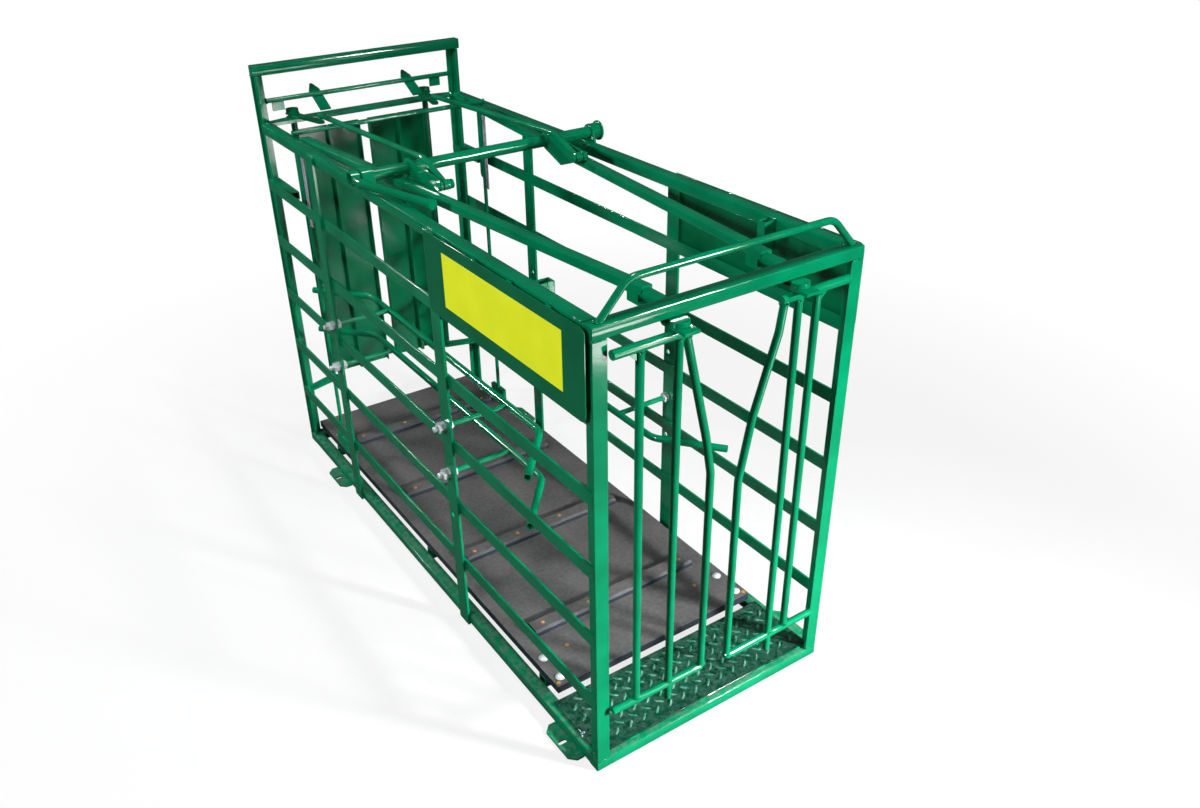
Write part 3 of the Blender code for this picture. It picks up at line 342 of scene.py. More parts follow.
def gloss_enamel(name, colour, shade, dust_and_light_tone="#6f8f80", dust_and_light_share=0.0, coat=0.4):
    """Sprayed alkyd enamel on rolled steel: wet gloss under a clear skin, and a paler tone on top faces:
    dust, and on the lozenges painted highlight as well.
    """
    material, tree, shader = new_material(name, ior=1.5)
    shader.inputs["Coat Weight"].default_value = coat
    shader.inputs["Coat Roughness"].default_value = 0.05
    place = add_node(tree, "ShaderNodeTexCoord").outputs["Object"]
    tone = mottled(tree, place, 90, colour, shade)
    # Paler tone on top faces: dust, and on the lozenges a painted highlight too
    if dust_and_light_share:
        dust_and_light_noise = add_node(tree, "ShaderNodeTexNoise",
                          {"Scale": per_metre(14), "Detail": 6, "Roughness": 0.7}, {"Vector": place})
        dust_and_light_spots = add_node(tree, "ShaderNodeMapRange", {"From Min": 0.42, "From Max": 0.62, "To Max": dust_and_light_share},
                         {"Value": dust_and_light_noise.outputs["Fac"]})
        share = add_node(tree, "ShaderNodeMath", {"operation": "MULTIPLY", "use_clamp": True},
                         {0: dust_and_light_spots.outputs["Result"], 1: facing_up(tree)})
        tone = add_node(tree, "ShaderNodeMix", {"data_type": "RGBA", MIX_SECOND: linear(dust_and_light_tone)},
                        {MIX_SHARE: share.outputs[0], MIX_FIRST: tone}).outputs[MIX_RESULT]
    tree.links.new(tone, shader.inputs["Base Color"])
    patch = add_node(tree, "ShaderNodeTexNoise", {"Scale": per_metre(30), "Detail": 4}, {"Vector": place})
    gloss = add_node(tree, "ShaderNodeMapRange",
                     {"From Min": 0.35, "From Max": 0.65, "To Min": 0.06, "To Max": 0.13},
                     {"Value": patch.outputs["Fac"]})
    tree.links.new(gloss.outputs["Result"], shader.inputs["Roughness"])
    # Orange peel, drawn 3.5 mm wide, which is coarser than real, so that it shows
    add_relief(tree, shader, place, size_mm=3.5, depth_mm=0.3, strength=0.30, detail=4)
    return material


def moulded_rubber(name):
    """Black rubber face on board: matt, painted grey above for trodden dust and the light on it, and
    painted blue-black shade with a blue sheen on its side faces and cut edges.
    """
    material, tree, shader = new_material(name, ior=1.5, roughness=0.62)
    place = add_node(tree, "ShaderNodeTexCoord").outputs["Object"]
    dust_and_light_tone = mottled(tree, place, 110, "#4a4d50", "#605e60", detail=5)
    scuffed = mottled(tree, place, 9, "#34393c", "#80786f", detail=4, low=0.30, high=0.72)
    worn = add_node(tree, "ShaderNodeMix", {"data_type": "RGBA", MIX_SHARE: 0.28},
                    {MIX_FIRST: dust_and_light_tone, MIX_SECOND: scuffed})
    top = add_node(tree, "ShaderNodeMapRange", {"From Min": 0.55, "From Max": 0.9},
                   {"Value": facing_up(tree)})
    # Faces that do not look up are painted blue-black: painted shade and a painted blue sheen over the
    # dark edge
    tone = add_node(tree, "ShaderNodeMix", {"data_type": "RGBA", MIX_FIRST: linear("#182430")},
                    {MIX_SHARE: top.outputs["Result"], MIX_SECOND: worn.outputs[MIX_RESULT]})
    tree.links.new(tone.outputs[MIX_RESULT], shader.inputs["Base Color"])
    # Moulded grain, drawn 3 mm wide, which is coarser than real, so that it shows
    add_relief(tree, shader, place, size_mm=3, depth_mm=0.5, strength=0.5, detail=5, roughness=0.65)
    return material


def plated(name, light, dark, roughness, mottle_mm):
    """Weathered zinc plate: pale metal whose sheen is dulled by a white oxide bloom."""
    material, tree, shader = new_material(name, metallic=0.25, roughness=roughness)
    place = add_node(tree, "ShaderNodeTexCoord").outputs["Object"]
    tree.links.new(mottled(tree, place, mottle_mm, light, dark), shader.inputs["Base Color"])
    # Plating grain, drawn 1.5 mm wide, which is coarser than real, so that it shows
    add_relief(tree, shader, place, size_mm=1.5, depth_mm=0.2, strength=0.25, detail=3)
    return material


def vinyl_sheet(name, colour, shade):
    """Self-adhesive fluorescent vinyl, calendered smooth: a satin skin, and a painted glow from its own
    colour that makes it brighter than the paint.
    """
    material, tree, shader = new_material(name, ior=1.53, roughness=0.34)
    place = add_node(tree, "ShaderNodeTexCoord").outputs["Object"]
    tone = mottled(tree, place, 60, colour, shade)
    tree.links.new(tone, shader.inputs["Base Color"])
    # Painted glow: the sheet emits its own yellow so that it looks lit in the shade
    tree.links.new(tone, shader.inputs["Emission Color"])
    shader.inputs["Emission Strength"].default_value = 0.52
    add_relief(tree, shader, place, size_mm=25, depth_mm=0.3, strength=0.12, detail=2)
    return material


def bore_shade_finish(name, colour, shade):
    """Painted shade inside a tube: near-black and rough, where the light hardly reaches."""
    material, tree, shader = new_material(name, roughness=0.9)
    place = add_node(tree, "ShaderNodeTexCoord").outputs["Object"]
    tree.links.new(mottled(tree, place, 4, colour, shade), shader.inputs["Base Color"])
    return material


# Gloss enamel sprayed on bar and tube: deep green with small crisp white lights
ENAMEL = gloss_enamel("gloss_green_enamel", "#009464", "#008458")
# The same enamel on the doors and side panels: painted darker as shade, with a weaker skin of gloss
SHADED_SHEET_ENAMEL = gloss_enamel("gloss_green_enamel_painted_shade", "#017b4e", "#016f46", coat=0.15)
# Enamel on the tread plate: painted black-green as shade between the lozenges, greyed where dust lies
SHADED_TREAD_ENAMEL = gloss_enamel("tread_enamel_painted_shade", "#054632", "#043325", dust_and_light_tone="#4a6f61", dust_and_light_share=0.55)
# Enamel on the lozenges: painted paler than the plate between them as lit crests, with dust and painted
# highlight on their top faces
LIT_LOZENGE_ENAMEL = gloss_enamel("lozenge_enamel_painted_highlight", "#22795c", "#17654a",
                              dust_and_light_tone="#86ad9d", dust_and_light_share=0.6)
# Enamel near the ground: the frame's green with grey dust on its top faces
BASE_ENAMEL = gloss_enamel("floor_level_green_enamel", "#009464", "#008458", dust_and_light_tone="#6f8d7e", dust_and_light_share=0.6)
# Moulded rubber on board: matt grey from dust and painted light above, painted blue-black shade at its
# edges
MAT_RUBBER = moulded_rubber("trodden_floor_rubber_painted_shade")
# Electroplated nuts, washers and threads: nearly white metal with a soft sheen
ZINC = plated("weathered_zinc_plate", "#f8fbff", "#dbe4ec", roughness=0.22, mottle_mm=4)
# Hot-dipped strip, and drops of painted glint and bare weld metal: duller and bluer grey, in broad
# patches
GALVANISED_AND_GLINTS = plated("galvanised_strip_and_painted_glints", "#c3c8d2", "#9aa0ae", roughness=0.42, mottle_mm=12)
# Yellow-passivated screws: small warm straw-coloured dots on the dark board
YELLOW_ZINC = plated("yellow_passivated_zinc", "#d9a860", "#b0803c", roughness=0.35, mottle_mm=3)
# Fluorescent vinyl with a painted glow: an even light yellow that shines as if lit beside the green
GLOWING_VINYL = vinyl_sheet("yellow_vinyl_painted_glow", "#d3dd22", "#cbd61e")
# Painted shade in the open tube ends: a nearly black hollow
BORE_SHADE = bore_shade_finish("bore_painted_shade", "#06120d", "#0b1712")

SLOT_FINISHES = {"green_paint": ENAMEL, "floor_mat": MAT_RUBBER, "zinc": ZINC}
OWN_FINISHES = (
    (("tread_plate",), SHADED_TREAD_ENAMEL),
    (("base_", "foot_tab"), BASE_ENAMEL),
    (("entry_door", "side_panel"), SHADED_SHEET_ENAMEL),
    (("link_pin",), ENAMEL),
)


def dress(node, material):
    """Gives a node its finish, takes needless edges out of its flat faces and breaks its sharp edges."""
    mesh = node.data
    mesh.materials.clear()
    mesh.materials.append(material)
    if "custom_normal" in mesh.attributes:
        mesh.attributes.remove(mesh.attributes["custom_normal"])
    mesh.shade_smooth()
    weld = node.modifiers.new("one skin", "WELD")
    weld.merge_threshold = SKIN_GAP
    flat = node.modifiers.new("flat faces", "DECIMATE")
    flat.decimate_type = "DISSOLVE"
    flat.angle_limit = math.radians(FLAT_ANGLE)
    edges = node.modifiers.new("broken edges", "BEVEL")
    edges.width = EDGE_WIDTH
    edges.segments = 2
    edges.limit_method = "ANGLE"
    edges.angle_limit = math.radians(SHARP_ANGLE)
    edges.harden_normals = True
    edges.use_clamp_overlap = True


def dress_nodes():
    """Finishes by slot, but for the nodes whose names start as OWN_FINISHES says."""
    slots = {part["node"]: part["material_slot"] for part in frame["record"]["subparts"]}
    for name, node in frame["nodes"].items():
        finish = SLOT_FINISHES[slots[name]]
        for starts, own_finish in OWN_FINISHES:
            if name.startswith(starts):
                finish = own_finish
        dress(node, finish)


def put(name, bm, material, body="frame", sharp=SHARP_ANGLE):
    """Makes a piece of a bmesh, smooth-shaded but for its sharp edges, and lets it ride on a body."""
    bmesh.ops.recalc_face_normals(bm, faces=bm.faces)
    mesh = bpy.data.meshes.new(name)
    bm.to_mesh(mesh)
    bm.free()
    mesh.materials.append(material)
    mesh.shade_smooth()
    mesh.set_sharp_from_angle(angle=math.radians(sharp))
    piece = bpy.data.objects.new(name, mesh)
    bpy.context.scene.collection.objects.link(piece)
    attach(piece, body)


def skin(bm, rings):
    """Faces between rings of as many points, and over the first and the last ring."""
    for low, high in zip(rings, rings[1:]):
        for i in range(len(low)):
            bm.faces.new((low[i - 1], low[i], high[i], high[i - 1]))
    bm.faces.new(rings[0])
    bm.faces.new(rings[-1])


def turned(bm, profile, foot, axis, sides, spin=0.0):
    """Solid turned about an axis from its foot: the profile gives radius and height pairs."""
    turn = Vector(axis).to_track_quat("Z", "Y").to_matrix()
    rings = []
    for radius, height in profile:
        ring = []
        for i in range(sides):
            angle = spin + 2 * math.pi * i / sides
            spot = turn @ Vector((radius * math.cos(angle), radius * math.sin(angle), height))
            ring.append(bm.verts.new(Vector(foot) + spot))
        rings.append(ring)
    skin(bm, rings)


def add_nut(bm, foot, axis, flats, height, spin):
    """Hexagon nut or bolt head with chamfered corners."""
    corner = flats / math.sqrt(3)
    turned(bm, [(corner * wide, height * up) for wide, up in NUT_PROFILE], foot, axis, 6, spin)


def add_washer(bm, foot, axis, radius, thickness):
    turned(bm, [(radius * wide, thickness * up) for wide, up in WASHER_PROFILE], foot, axis, 24)


def add_thread(bm, foot, axis, radius, length, pitch):
    """Threaded shank: a ridge at every pitch."""
    profile = [(radius - pitch / 2, 0)]
    for i in range(int(length / pitch)):
        profile += [(radius, (i + 0.5) * pitch), (radius - pitch / 3, (i + 1) * pitch)]
    turned(bm, profile, foot, axis, 14)


def add_bead(bm, start, end, radius):
    """Weld bead laid in overlapping ripples, with the slight wander of a hand weld."""
    start = Vector(start)
    run = Vector(end) - start
    ripples = max(2, round(run.length / RIPPLE))
    turn = run.to_track_quat("Z", "Y").to_matrix()
    angles = [2 * math.pi * k / BEAD_SIDES for k in range(BEAD_SIDES)]
    steps = ripples * RINGS_PER_RIPPLE
    rings = []
    for i in range(steps + 1):
        share = i / steps
        swell = 0.80 + 0.20 * abs(math.sin(math.pi * share * ripples))
        lump = swell + draws.uniform(-BEAD_WANDER, BEAD_WANDER)
        taper = min(1.0, 0.25 + 6 * min(share, 1 - share))
        wide = radius * lump * taper
        across = draws.uniform(-BEAD_SWAY, BEAD_SWAY) * radius
        aside = draws.uniform(-BEAD_SWAY, BEAD_SWAY) * radius
        centre = start + run * share + turn @ Vector((across, aside, 0))
        rings.append([bm.verts.new(centre + turn @ Vector((wide * math.cos(a), wide * math.sin(a), 0)))
                      for a in angles])
    skin(bm, rings)


def add_ring_bead(bm, centre, axis, radius, thick):
    """Weld bead all round a bar, laid as short beads that overlap."""
    turn = Vector(axis).to_track_quat("Z", "Y").to_matrix()
    steps = max(6, round(math.radians(360) * radius / RING_STEP))
    spots = []
    for i in range(steps + 1):
        angle = math.radians(360 * i / steps)
        spoke = Vector((radius * math.cos(angle), radius * math.sin(angle), 0))
        spots.append(Vector(centre) + turn @ spoke)
    for first, second in zip(spots, spots[1:]):
        overlap = (second - first) * RING_OVERLAP
        add_bead(bm, first - overlap, second + overlap, thick)


def add_block(bm, low, high):
    made = bmesh.ops.create_cube(bm, size=1)["verts"]
    bmesh.ops.scale(bm, verts=made, vec=[b - a for a, b in zip(low, high)])
    bmesh.ops.translate(bm, verts=made, vec=[(a + b) / 2 for a, b in zip(low, high)])


def rail_levels(word):
    """Top and bottom height of each side rail."""
    boxes = [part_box(f"side_rail_{word}_{i + 1}") for i in range(RAIL_COUNT)]
    return [(high[2], low[2]) for low, high in boxes]


def make_side_welds(sign, word):
    """Beads of a side's rails on its posts and uprights."""
    bm = bmesh.new()
    face = sign * HALF_WIDTH
    for top, bottom in rail_levels(word):
        for end in SIGNS:
            x = face - sign * SUNK
            y = end * (HALF_LENGTH - POST_LEG)
            add_bead(bm, (x, y, top - SHORT), (x, y, bottom + SHORT), WELD)
            x = sign * RAIL_EDGE_X
            y = end * (INNER_Y - SUNK)
            add_bead(bm, (x, y, top), (x, y + end * RAIL_EDGE_BEAD, top), THIN_WELD)
        for upright in ENDS:
            low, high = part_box(f"side_flat_{word}_{upright}")
            for edge in (low[1], high[1]):
                high_end = (face, edge, top - UPRIGHT_EDGE_GAP)
                add_bead(bm, high_end, (face, edge, bottom + UPRIGHT_EDGE_GAP), THIN_WELD)
            y = (low[1] + high[1]) / 2
            add_bead(bm, (face, y - LEDGE_BEAD[0], top), (face, y + LEDGE_BEAD[1], top), FINE_WELD)
    put(f"side_welds_{word}", bm, ENAMEL)


def make_corner_welds(sign, word):
    """Beads at a side's posts, uprights and foot tabs, and along its sign panel."""
    bm = bmesh.new()
    face = sign * HALF_WIDTH
    for end, post_top in ((-1, TOP_BASE), (1, HEADER_BASE)):
        y = end * HALF_LENGTH
        for z in (BASE_TOP, post_top):
            add_bead(bm, (sign * (INNER_X + SHORT), y, z), (sign * (HALF_WIDTH - SUNK), y, z), WELD)
            add_bead(bm, (face, y - end * SUNK, z), (face, y - end * CORNER_BEAD, z), THIN_WELD)
        y = end * INNER_Y
        for z in (BASE_TOP, FRAME_TOP):
            add_bead(bm, (sign * (INNER_X + SUNK), y, z), (sign * (HALF_WIDTH - SUNK), y, z), THIN_WELD)
    for upright in ENDS:
        low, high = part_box(f"side_flat_{word}_{upright}")
        x = sign * (HALF_WIDTH + SUNK)
        for edge in (low[1], high[1]):
            add_bead(bm, (x, edge, UPRIGHT_FOOT_Z), (x, edge, BASE_TOP), THIN_WELD)
        x = sign * (HALF_WIDTH + SHORT)
        add_bead(bm, (x, low[1] + SHORT, high[2]), (x, high[1] - SHORT, high[2]), WELD)
    x = sign * PANEL_BEAD_X - sign * SHORT
    for y in PANEL_BEADS_Y:
        front_end = (x, y - PANEL_BEAD[0], PANEL_BEAD_Z)
        add_bead(bm, front_end, (x, y + PANEL_BEAD[1], PANEL_BEAD_Z), LIGHT_WELD)
    for end in ENDS:
        low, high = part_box(f"foot_tab_{end}_{word}")
        for share in TAB_BEAD_SHARES:
            y = low[1] + share * (high[1] - low[1])
            add_bead(bm, (face, y, TAB_BEAD_Z), (face, y + STITCH, TAB_BEAD_Z), STOUT_WELD)
    put(f"corner_welds_{word}", bm, ENAMEL)


def make_top_and_floor_welds():
    """Beads of the hoop, tread plate, stop bar, rear cross rail, tie bar, top bars and guide sockets."""
    bm = bmesh.new()
    for x in HOOP_FEET_X:
        add_ring_bead(bm, (x, HOOP_FEET_Y, HOOP_BEAD_Z), Z_AXIS, *HOOP_BEAD)
    low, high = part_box("tread_plate")
    z = high[2] - TREAD_BEAD_DROP
    for x in TREAD_FRONT_BEADS_X:
        add_bead(bm, (x, low[1], z), (x + LONG_STITCH, low[1], z), STOUT_WELD)
    for sign in SIGNS:
        x = sign * -low[0]
        for y in TREAD_SIDE_BEADS_Y:
            add_bead(bm, (x, y, z), (x, y + STITCH, z), WELD)
        x = sign * (INNER_X - SUNK)
        add_ring_bead(bm, (x, *STOP_BAR_YZ), X_AXIS, *STOP_BAR_BEAD)
        add_bead(bm, (x, CROSS_RAIL_Y[0], CROSS_RAIL_Z), (x, CROSS_RAIL_Y[1], CROSS_RAIL_Z), WELD)
        add_ring_bead(bm, (sign * TIE_BAR_END[0], *TIE_BAR_END[1:]), X_AXIS, *TIE_BAR_BEAD)
        x = sign * TOP_BAR_FOOT_X
        add_bead(bm, (x, TOP_BAR_FOOT_Y[0], FRAME_TOP), (x, TOP_BAR_FOOT_Y[1], FRAME_TOP), HEAVY_WELD)
        x = sign * INNER_X
        add_bead(bm, (x, SOCKET_Y[0], SOCKET_Z), (x, SOCKET_Y[1], SOCKET_Z), WELD)
    put("top_and_floor_welds", bm, ENAMEL)


def make_gate_welds(word):
    """Beads round a gate's bars under its arm, on its foot rail and round its pivot's head."""
    pivot_x, second_x, neck_top_x, neck_foot_x, foot_z = GATE_BARS[word]
    bm = bmesh.new()
    for x in (pivot_x, second_x, neck_top_x):
        add_ring_bead(bm, (x, GATE_Y, GATE_ARM_BEAD_Z), Z_AXIS, *GATE_BAR_BEAD)
    for x in (pivot_x, second_x, neck_foot_x):
        add_ring_bead(bm, (x, GATE_Y, foot_z + GATE_FOOT_BEAD_RISE), Z_AXIS, *GATE_BAR_BEAD)
    add_ring_bead(bm, (pivot_x, GATE_Y, GATE_TOP + SUNK), Z_AXIS, *GATE_PIVOT_BEAD)
    put(f"gate_welds_{word}", bm, ENAMEL, f"exit_gate_{word}")


def make_door_welds(sign, word):
    """Beads round a door's shaft at its crank arm, and the stitches of its seam."""
    bm = bmesh.new()
    for z, radius, thick in DOOR_COLLARS:
        add_ring_bead(bm, (sign * DOOR_SHAFT_X, DOOR_SHAFT_Y, z), Z_AXIS, radius, thick)
    x = sign * DOOR_SEAM_X
    for z in DOOR_SEAM_Z:
        add_bead(bm, (x, DOOR_SEAM_Y, z), (x, DOOR_SEAM_Y, z + LONG_STITCH), WELD)
    put(f"door_welds_{word}", bm, SHADED_SHEET_ENAMEL, f"entry_door_{word}")


def make_lever_welds():
    """Beads round the lever's shaft at its crank plates and its handle."""
    bm = bmesh.new()
    for sign in SIGNS:
        for x in CRANK_FACES_X:
            add_ring_bead(bm, (sign * x, SHAFT_Y, SHAFT_Z), X_AXIS, *CRANK_BEAD)
    add_ring_bead(bm, (HANDLE_JOINT_X, SHAFT_Y, SHAFT_Z), X_AXIS, *HANDLE_BEAD)
    put("lever_welds", bm, ENAMEL, "lever")


def make_welds():
    """All the beads, in the order in which the random wander is drawn."""
    for sign, word in SIDES:
        make_side_welds(sign, word)
        make_corner_welds(sign, word)
    make_top_and_floor_welds()
    for sign, word in SIDES:
        make_gate_welds(word)
        make_door_welds(sign, word)
    make_lever_welds()


def add_lozenge(bm, centre, angle):
    """One raised lozenge: two slopes that rise from its pointed rim to a crest."""
    along = Vector((math.cos(angle), math.sin(angle), 0))
    across = Vector((-along.y, along.x, 0))
    crest = []
    rim = []
    for k in range(LOZENGE_POINTS):
        t = -1 + 2 * k / (LOZENGE_POINTS - 1)
        aside = across * (LOZENGE_WIDE * (1 - t * t))
        rim.append((centre + along * LOZENGE_HALF * t + aside, centre + along * LOZENGE_HALF * t - aside))
        rise = Vector((0, 0, LOZENGE_TALL * (1 - t ** 4)))
        crest.append(bm.verts.new(centre + along * LOZENGE_HALF * t * LOZENGE_CREST + rise))
    left = [bm.verts.new(a) for a, b in rim]
    right = [left[0]] + [bm.verts.new(b) for a, b in rim[1:-1]] + [left[-1]]
    for k in range(LOZENGE_POINTS - 1):
        for row in (left, right):
            bm.faces.new([row[k], row[k + 1], crest[k + 1], crest[k]])


def make_tread_pattern():
    """Chequer plate's lozenges, each square to its neighbours and whole within the plate."""
    low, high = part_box("tread_plate")
    bm = bmesh.new()
    for i in range(int((high[0] - low[0]) / LOZENGE_STEP)):
        for j in range(int((high[1] - low[1]) / LOZENGE_STEP)):
            if (i + j) % 2:
                continue
            x = low[0] + (i + FIRST_LOZENGE[0]) * LOZENGE_STEP
            y = low[1] + (j + FIRST_LOZENGE[1]) * LOZENGE_STEP
            within_x = x - LOZENGE_HALF >= low[0] and x + LOZENGE_HALF <= high[0]
            within_y = y - LOZENGE_HALF >= low[1] and y + LOZENGE_HALF <= high[1]
            if within_x and within_y:
                centre = Vector((x, y, high[2] - LOZENGE_SUNK))
                add_lozenge(bm, centre, math.radians(45 if i % 2 else -45))
    put("tread_lozenges", bm, LIT_LOZENGE_ENAMEL, sharp=60)


def make_stud_fixings():
    """Zinc lock nuts and washers on both faces of the uprights, and the studs' threads."""
    bm = bmesh.new()
    for sign, z in STUDS.values():
        for y in STUDS_Y:
            for face, way, height in LOCK_NUTS:
                axis = (way * sign, 0, 0)
                add_washer(bm, (sign * face, y, z), axis, STUD_WASHER_RADIUS, STUD_WASHER_THICKNESS)
                seat = (sign * (face + way * STUD_WASHER_THICKNESS), y, z)
                add_nut(bm, seat, axis, LOCK_NUT_FLATS, height, draws.uniform(0, 1))
    put("adjuster_lock_nuts", bm, ZINC)
    for name, (sign, z) in STUDS.items():
        bm = bmesh.new()
        axis = (sign, 0, 0)
        start = sign * THREAD_START
        for y in STUDS_Y:
            add_thread(bm, (start, y, z), axis, THREAD_RADIUS, THREAD_LENGTH, THREAD_PITCH)
            turned(bm, STUD_END, (start + sign * STUD_END_START, y, z), axis, 14)
        put(f"{name}_threads", bm, ZINC, name)


def make_floor_fixings():
    """Round bolt heads on washers at the board's corners, and small screws in cleats and board."""
    bm = bmesh.new()
    for sign in SIGNS:
        x = sign * BOARD_BOLT_X
        for y in BOARD_BOLTS_Y:
            add_washer(bm, (x, y, MAT_TOP), Z_AXIS, BOARD_WASHER_RADIUS, BOARD_WASHER_THICKNESS)
            turned(bm, BOARD_BOLT_HEAD, (x, y, MAT_TOP + BOARD_BOLT_RISE), Z_AXIS, 20)
    put("floor_bolts", bm, ZINC)

    bm = bmesh.new()
    stray_x, stray_y = CLEAT_SCREW_STRAY_MM
    for edge in CLEATS_Y:
        for x in CLEAT_SCREWS_X:
            screw_x = x + draws.uniform(-stray_x, stray_x) * MM
            screw_y = edge + CLEAT_SCREW_INSET + draws.uniform(-stray_y, stray_y) * MM
            turned(bm, CLEAT_SCREW_HEAD, (screw_x, screw_y, MAT_TOP + CLEAT_HEIGHT), Z_AXIS, 12)
    for x, y in BOARD_SCREWS:
        turned(bm, BOARD_SCREW_HEAD, (x, y, MAT_TOP - BOARD_SCREW_SUNK), Z_AXIS, 12)
    put("floor_screws", bm, YELLOW_ZINC)


def make_bearing_bolts():
    bm = bmesh.new()
    for way in SIGNS:
        foot = (BEARING_BOLT_X, SHAFT_Y + way * BEARING_BOLT_REACH, BEARING_BOLT_Z)
        add_nut(bm, foot, X_AXIS, BEARING_BOLT_FLATS, BEARING_BOLT_HEIGHT, draws.uniform(0, 1))
    put("bearing_bolts", bm, ENAMEL)


def make_glints_and_bare_spots():
    """Bright drops: painted glints on the left top rail, and bare weld metal where the paint has gone at
    the front corners.
    """
    bm = bmesh.new()
    for centre, spread, count in GLINTS_AND_SPATTER:
        for i in range(count):
            spot = [c + draws.gauss(0, 0.5) * s * MM for c, s in zip(centre, spread)]
            spot[0] = max(-HALF_WIDTH, min(HALF_WIDTH, spot[0]))
            spot[1] = max(-HALF_LENGTH, spot[1])
            radius = draws.uniform(*DROP_RADII_MM) * MM
            made = bmesh.ops.create_icosphere(bm, subdivisions=1, radius=radius)["verts"]
            bmesh.ops.scale(bm, verts=made, vec=(1, draws.uniform(1, 1.8), draws.uniform(0.5, 0.9)))
            bmesh.ops.translate(bm, verts=made, vec=spot)
    put("glints_and_bare_spatter", bm, GALVANISED_AND_GLINTS, sharp=80)


def make_yellow_sheet():
    """Plain yellow sheet stuck on the left panel."""
    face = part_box("side_panel_left")[0][0]
    bm = bmesh.new()
    low = (face - SHEET_OUTSIDE, SHEET_Y[0], SHEET_Z[0])
    high = (face - SHEET_INSIDE, SHEET_Y[1], SHEET_Z[1])
    add_block(bm, low, high)
    put("yellow_sheet", bm, GLOWING_VINYL, sharp=30)


def make_drop_strips():
    """Galvanised flat strips beside the slim rods."""
    for sign, word in SIDES:
        bm = bmesh.new()
        x = sorted((sign * STRIP_X, sign * STRIP_X + sign * STRIP_THICKNESS))
        add_block(bm, (x[0], STRIP_Y[0], STRIP_Z[0]), (x[1], STRIP_Y[1], STRIP_Z[1]))
        put(f"drop_strip_{word}", bm, GALVANISED_AND_GLINTS)


def make_bores():
    """Near-black discs in the tube ends that show as open: painted shade of their hollow."""
    x, y, z = BORE_PLACE
    bm = bmesh.new()
    for sign in SIGNS:
        turned(bm, BORE, (sign * x, y, z), (0, -1, 0), 20)
    put("end_tube_bore_shade", bm, BORE_SHADE)


def clear_rays(tree, rays):
    """1 for what the camera sees, straight or through a clear face."""
    return add_node(tree, "ShaderNodeMath", {"operation": "MAXIMUM"},
                    {0: rays.outputs["Is Camera Ray"], 1: rays.outputs["Is Transmission Ray"]}).outputs[0]


def with_white(tree, rays, shown, base, white, output):
    """Lays plain white over a floor or sky: as much as is shown, and a little of it in reflections."""
    mirrored = add_node(tree, "ShaderNodeMath", {"operation": "MULTIPLY", 1: WHITE_IN_GLOSS},
                        {0: rays.outputs["Is Glossy Ray"]})
    share = add_node(tree, "ShaderNodeMath", {"operation": "MAXIMUM"}, {0: shown, 1: mirrored.outputs[0]})
    blend = add_node(tree, "ShaderNodeMixShader", {},
                     {0: share.outputs[0], 1: base.outputs[0], 2: white.outputs[0]})
    tree.links.new(blend.outputs[0], tree.nodes[output].inputs["Surface"])


def make_floor():
    """Pale floor that runs out of view; it takes the crate's shadow near by and turns white far off."""
    bm = bmesh.new()
    bmesh.ops.create_grid(bm, x_segments=1, y_segments=1, size=FLOOR_SIZE)
    mesh = bpy.data.meshes.new("studio_floor")
    bm.to_mesh(mesh)
    bm.free()
    floor = bpy.data.objects.new("studio_floor", mesh)
    floor.location.z = -FLOOR_DROP
    bpy.context.scene.collection.objects.link(floor)
    # Matt floor paint: pale to the camera, and dark to the light that bounces off it
    material, tree, shader = new_material("studio_floor_paint", roughness=0.9)
    rays = add_node(tree, "ShaderNodeLightPath")
    tone = add_node(tree, "ShaderNodeMix",
                    {"data_type": "RGBA", MIX_FIRST: linear("#202020"), MIX_SECOND: linear("#f0f0f0")},
                    {MIX_SHARE: rays.outputs["Is Camera Ray"]})
    tree.links.new(tone.outputs[MIX_RESULT], shader.inputs["Base Color"])
    place = add_node(tree, "ShaderNodeTexCoord").outputs["Object"]
    reach = add_node(tree, "ShaderNodeVectorMath", {"operation": "LENGTH"}, {0: place})
    away = add_node(tree, "ShaderNodeMapRange",
                    {"From Min": FLOOR_NEAR, "From Max": FLOOR_FAR,
                     "To Min": FLOOR_NEAR_WHITE, "To Max": 1.0},
                    {"Value": reach.outputs["Value"]})
    shown = add_node(tree, "ShaderNodeMath", {"operation": "MULTIPLY"},
                     {0: clear_rays(tree, rays), 1: away.outputs[0]})
    white = add_node(tree, "ShaderNodeEmission", {"Strength": 1.0})
    with_white(tree, rays, shown.outputs[0], shader, white, "Material Output")
    mesh.materials.append(material)


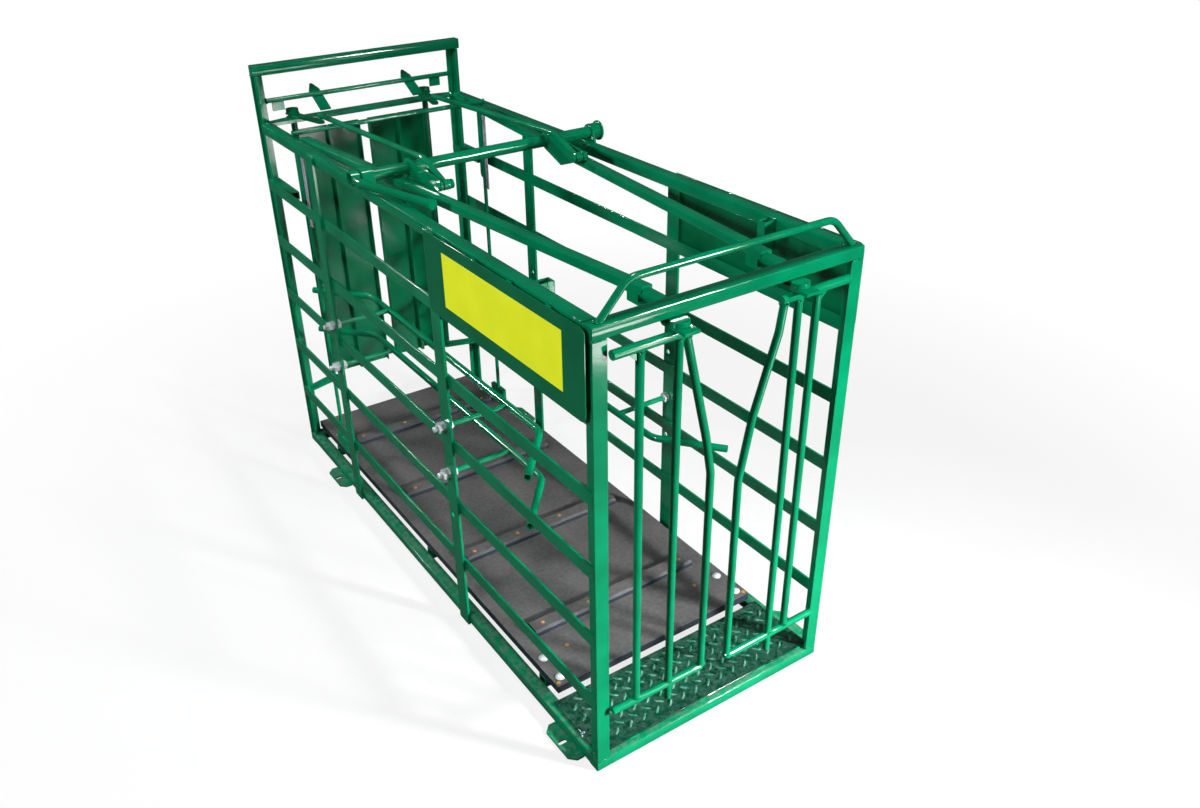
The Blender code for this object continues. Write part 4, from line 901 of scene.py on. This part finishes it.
def make_sky():
    """Even, faintly blue sky that is white to the camera and weaker in reflections."""
    world = bpy.data.worlds.new("studio")
    bpy.context.scene.world = world
    world.use_nodes = True
    tree = world.node_tree
    glow = tree.nodes["Background"]
    glow.inputs["Color"].default_value = linear("#cfe2f5")
    rays = add_node(tree, "ShaderNodeLightPath")
    dimmed = add_node(tree, "ShaderNodeMapRange", {"To Min": SKY_LIGHT, "To Max": SKY_IN_GLOSS},
                      {"Value": rays.outputs["Is Glossy Ray"]})
    tree.links.new(dimmed.outputs["Result"], glow.inputs["Strength"])
    white = add_node(tree, "ShaderNodeBackground", {"Color": (1, 1, 1, 1), "Strength": 1.0})
    with_white(tree, rays, clear_rays(tree, rays), glow, white, "World Output")


def make_lamps():
    """Key from the right, two weak low cards for sheen, a top light, a fill from the left and a rim."""
    for name, place, size, power, aim, spread in LAMPS:
        light = bpy.data.lights.new(name, "AREA")
        light.size = size
        light.energy = power
        light.spread = math.radians(spread)
        lamp = bpy.data.objects.new(name, light)
        lamp.location = place
        lamp.rotation_euler = (Vector(aim) - Vector(place)).to_track_quat("-Z", "Y").to_euler()
        bpy.context.scene.collection.objects.link(lamp)


def make_camera():
    data = bpy.data.cameras.new("photo_camera")
    data.sensor_width = SENSOR_WIDTH_MM
    data.lens = FOCAL_PIXELS / PHOTO_WIDTH * data.sensor_width
    data.shift_x = (PHOTO_WIDTH / 2 - OPTICAL_CENTRE[0]) / PHOTO_WIDTH
    data.shift_y = (OPTICAL_CENTRE[1] - PHOTO_HEIGHT / 2) / PHOTO_WIDTH
    camera = bpy.data.objects.new("photo_camera", data)
    camera.location = CAMERA_PLACE
    camera.rotation_euler = Euler(CAMERA_TURN)
    bpy.context.scene.collection.objects.link(camera)
    bpy.context.scene.camera = camera


dress_nodes()
make_welds()
make_tread_pattern()
make_stud_fixings()
make_floor_fixings()
make_bearing_bolts()
make_glints_and_bare_spots()
make_yellow_sheet()
make_drop_strips()
make_bores()
make_floor()
make_sky()
make_lamps()
make_camera()
bpy.context.scene.view_settings.view_transform = "Standard"
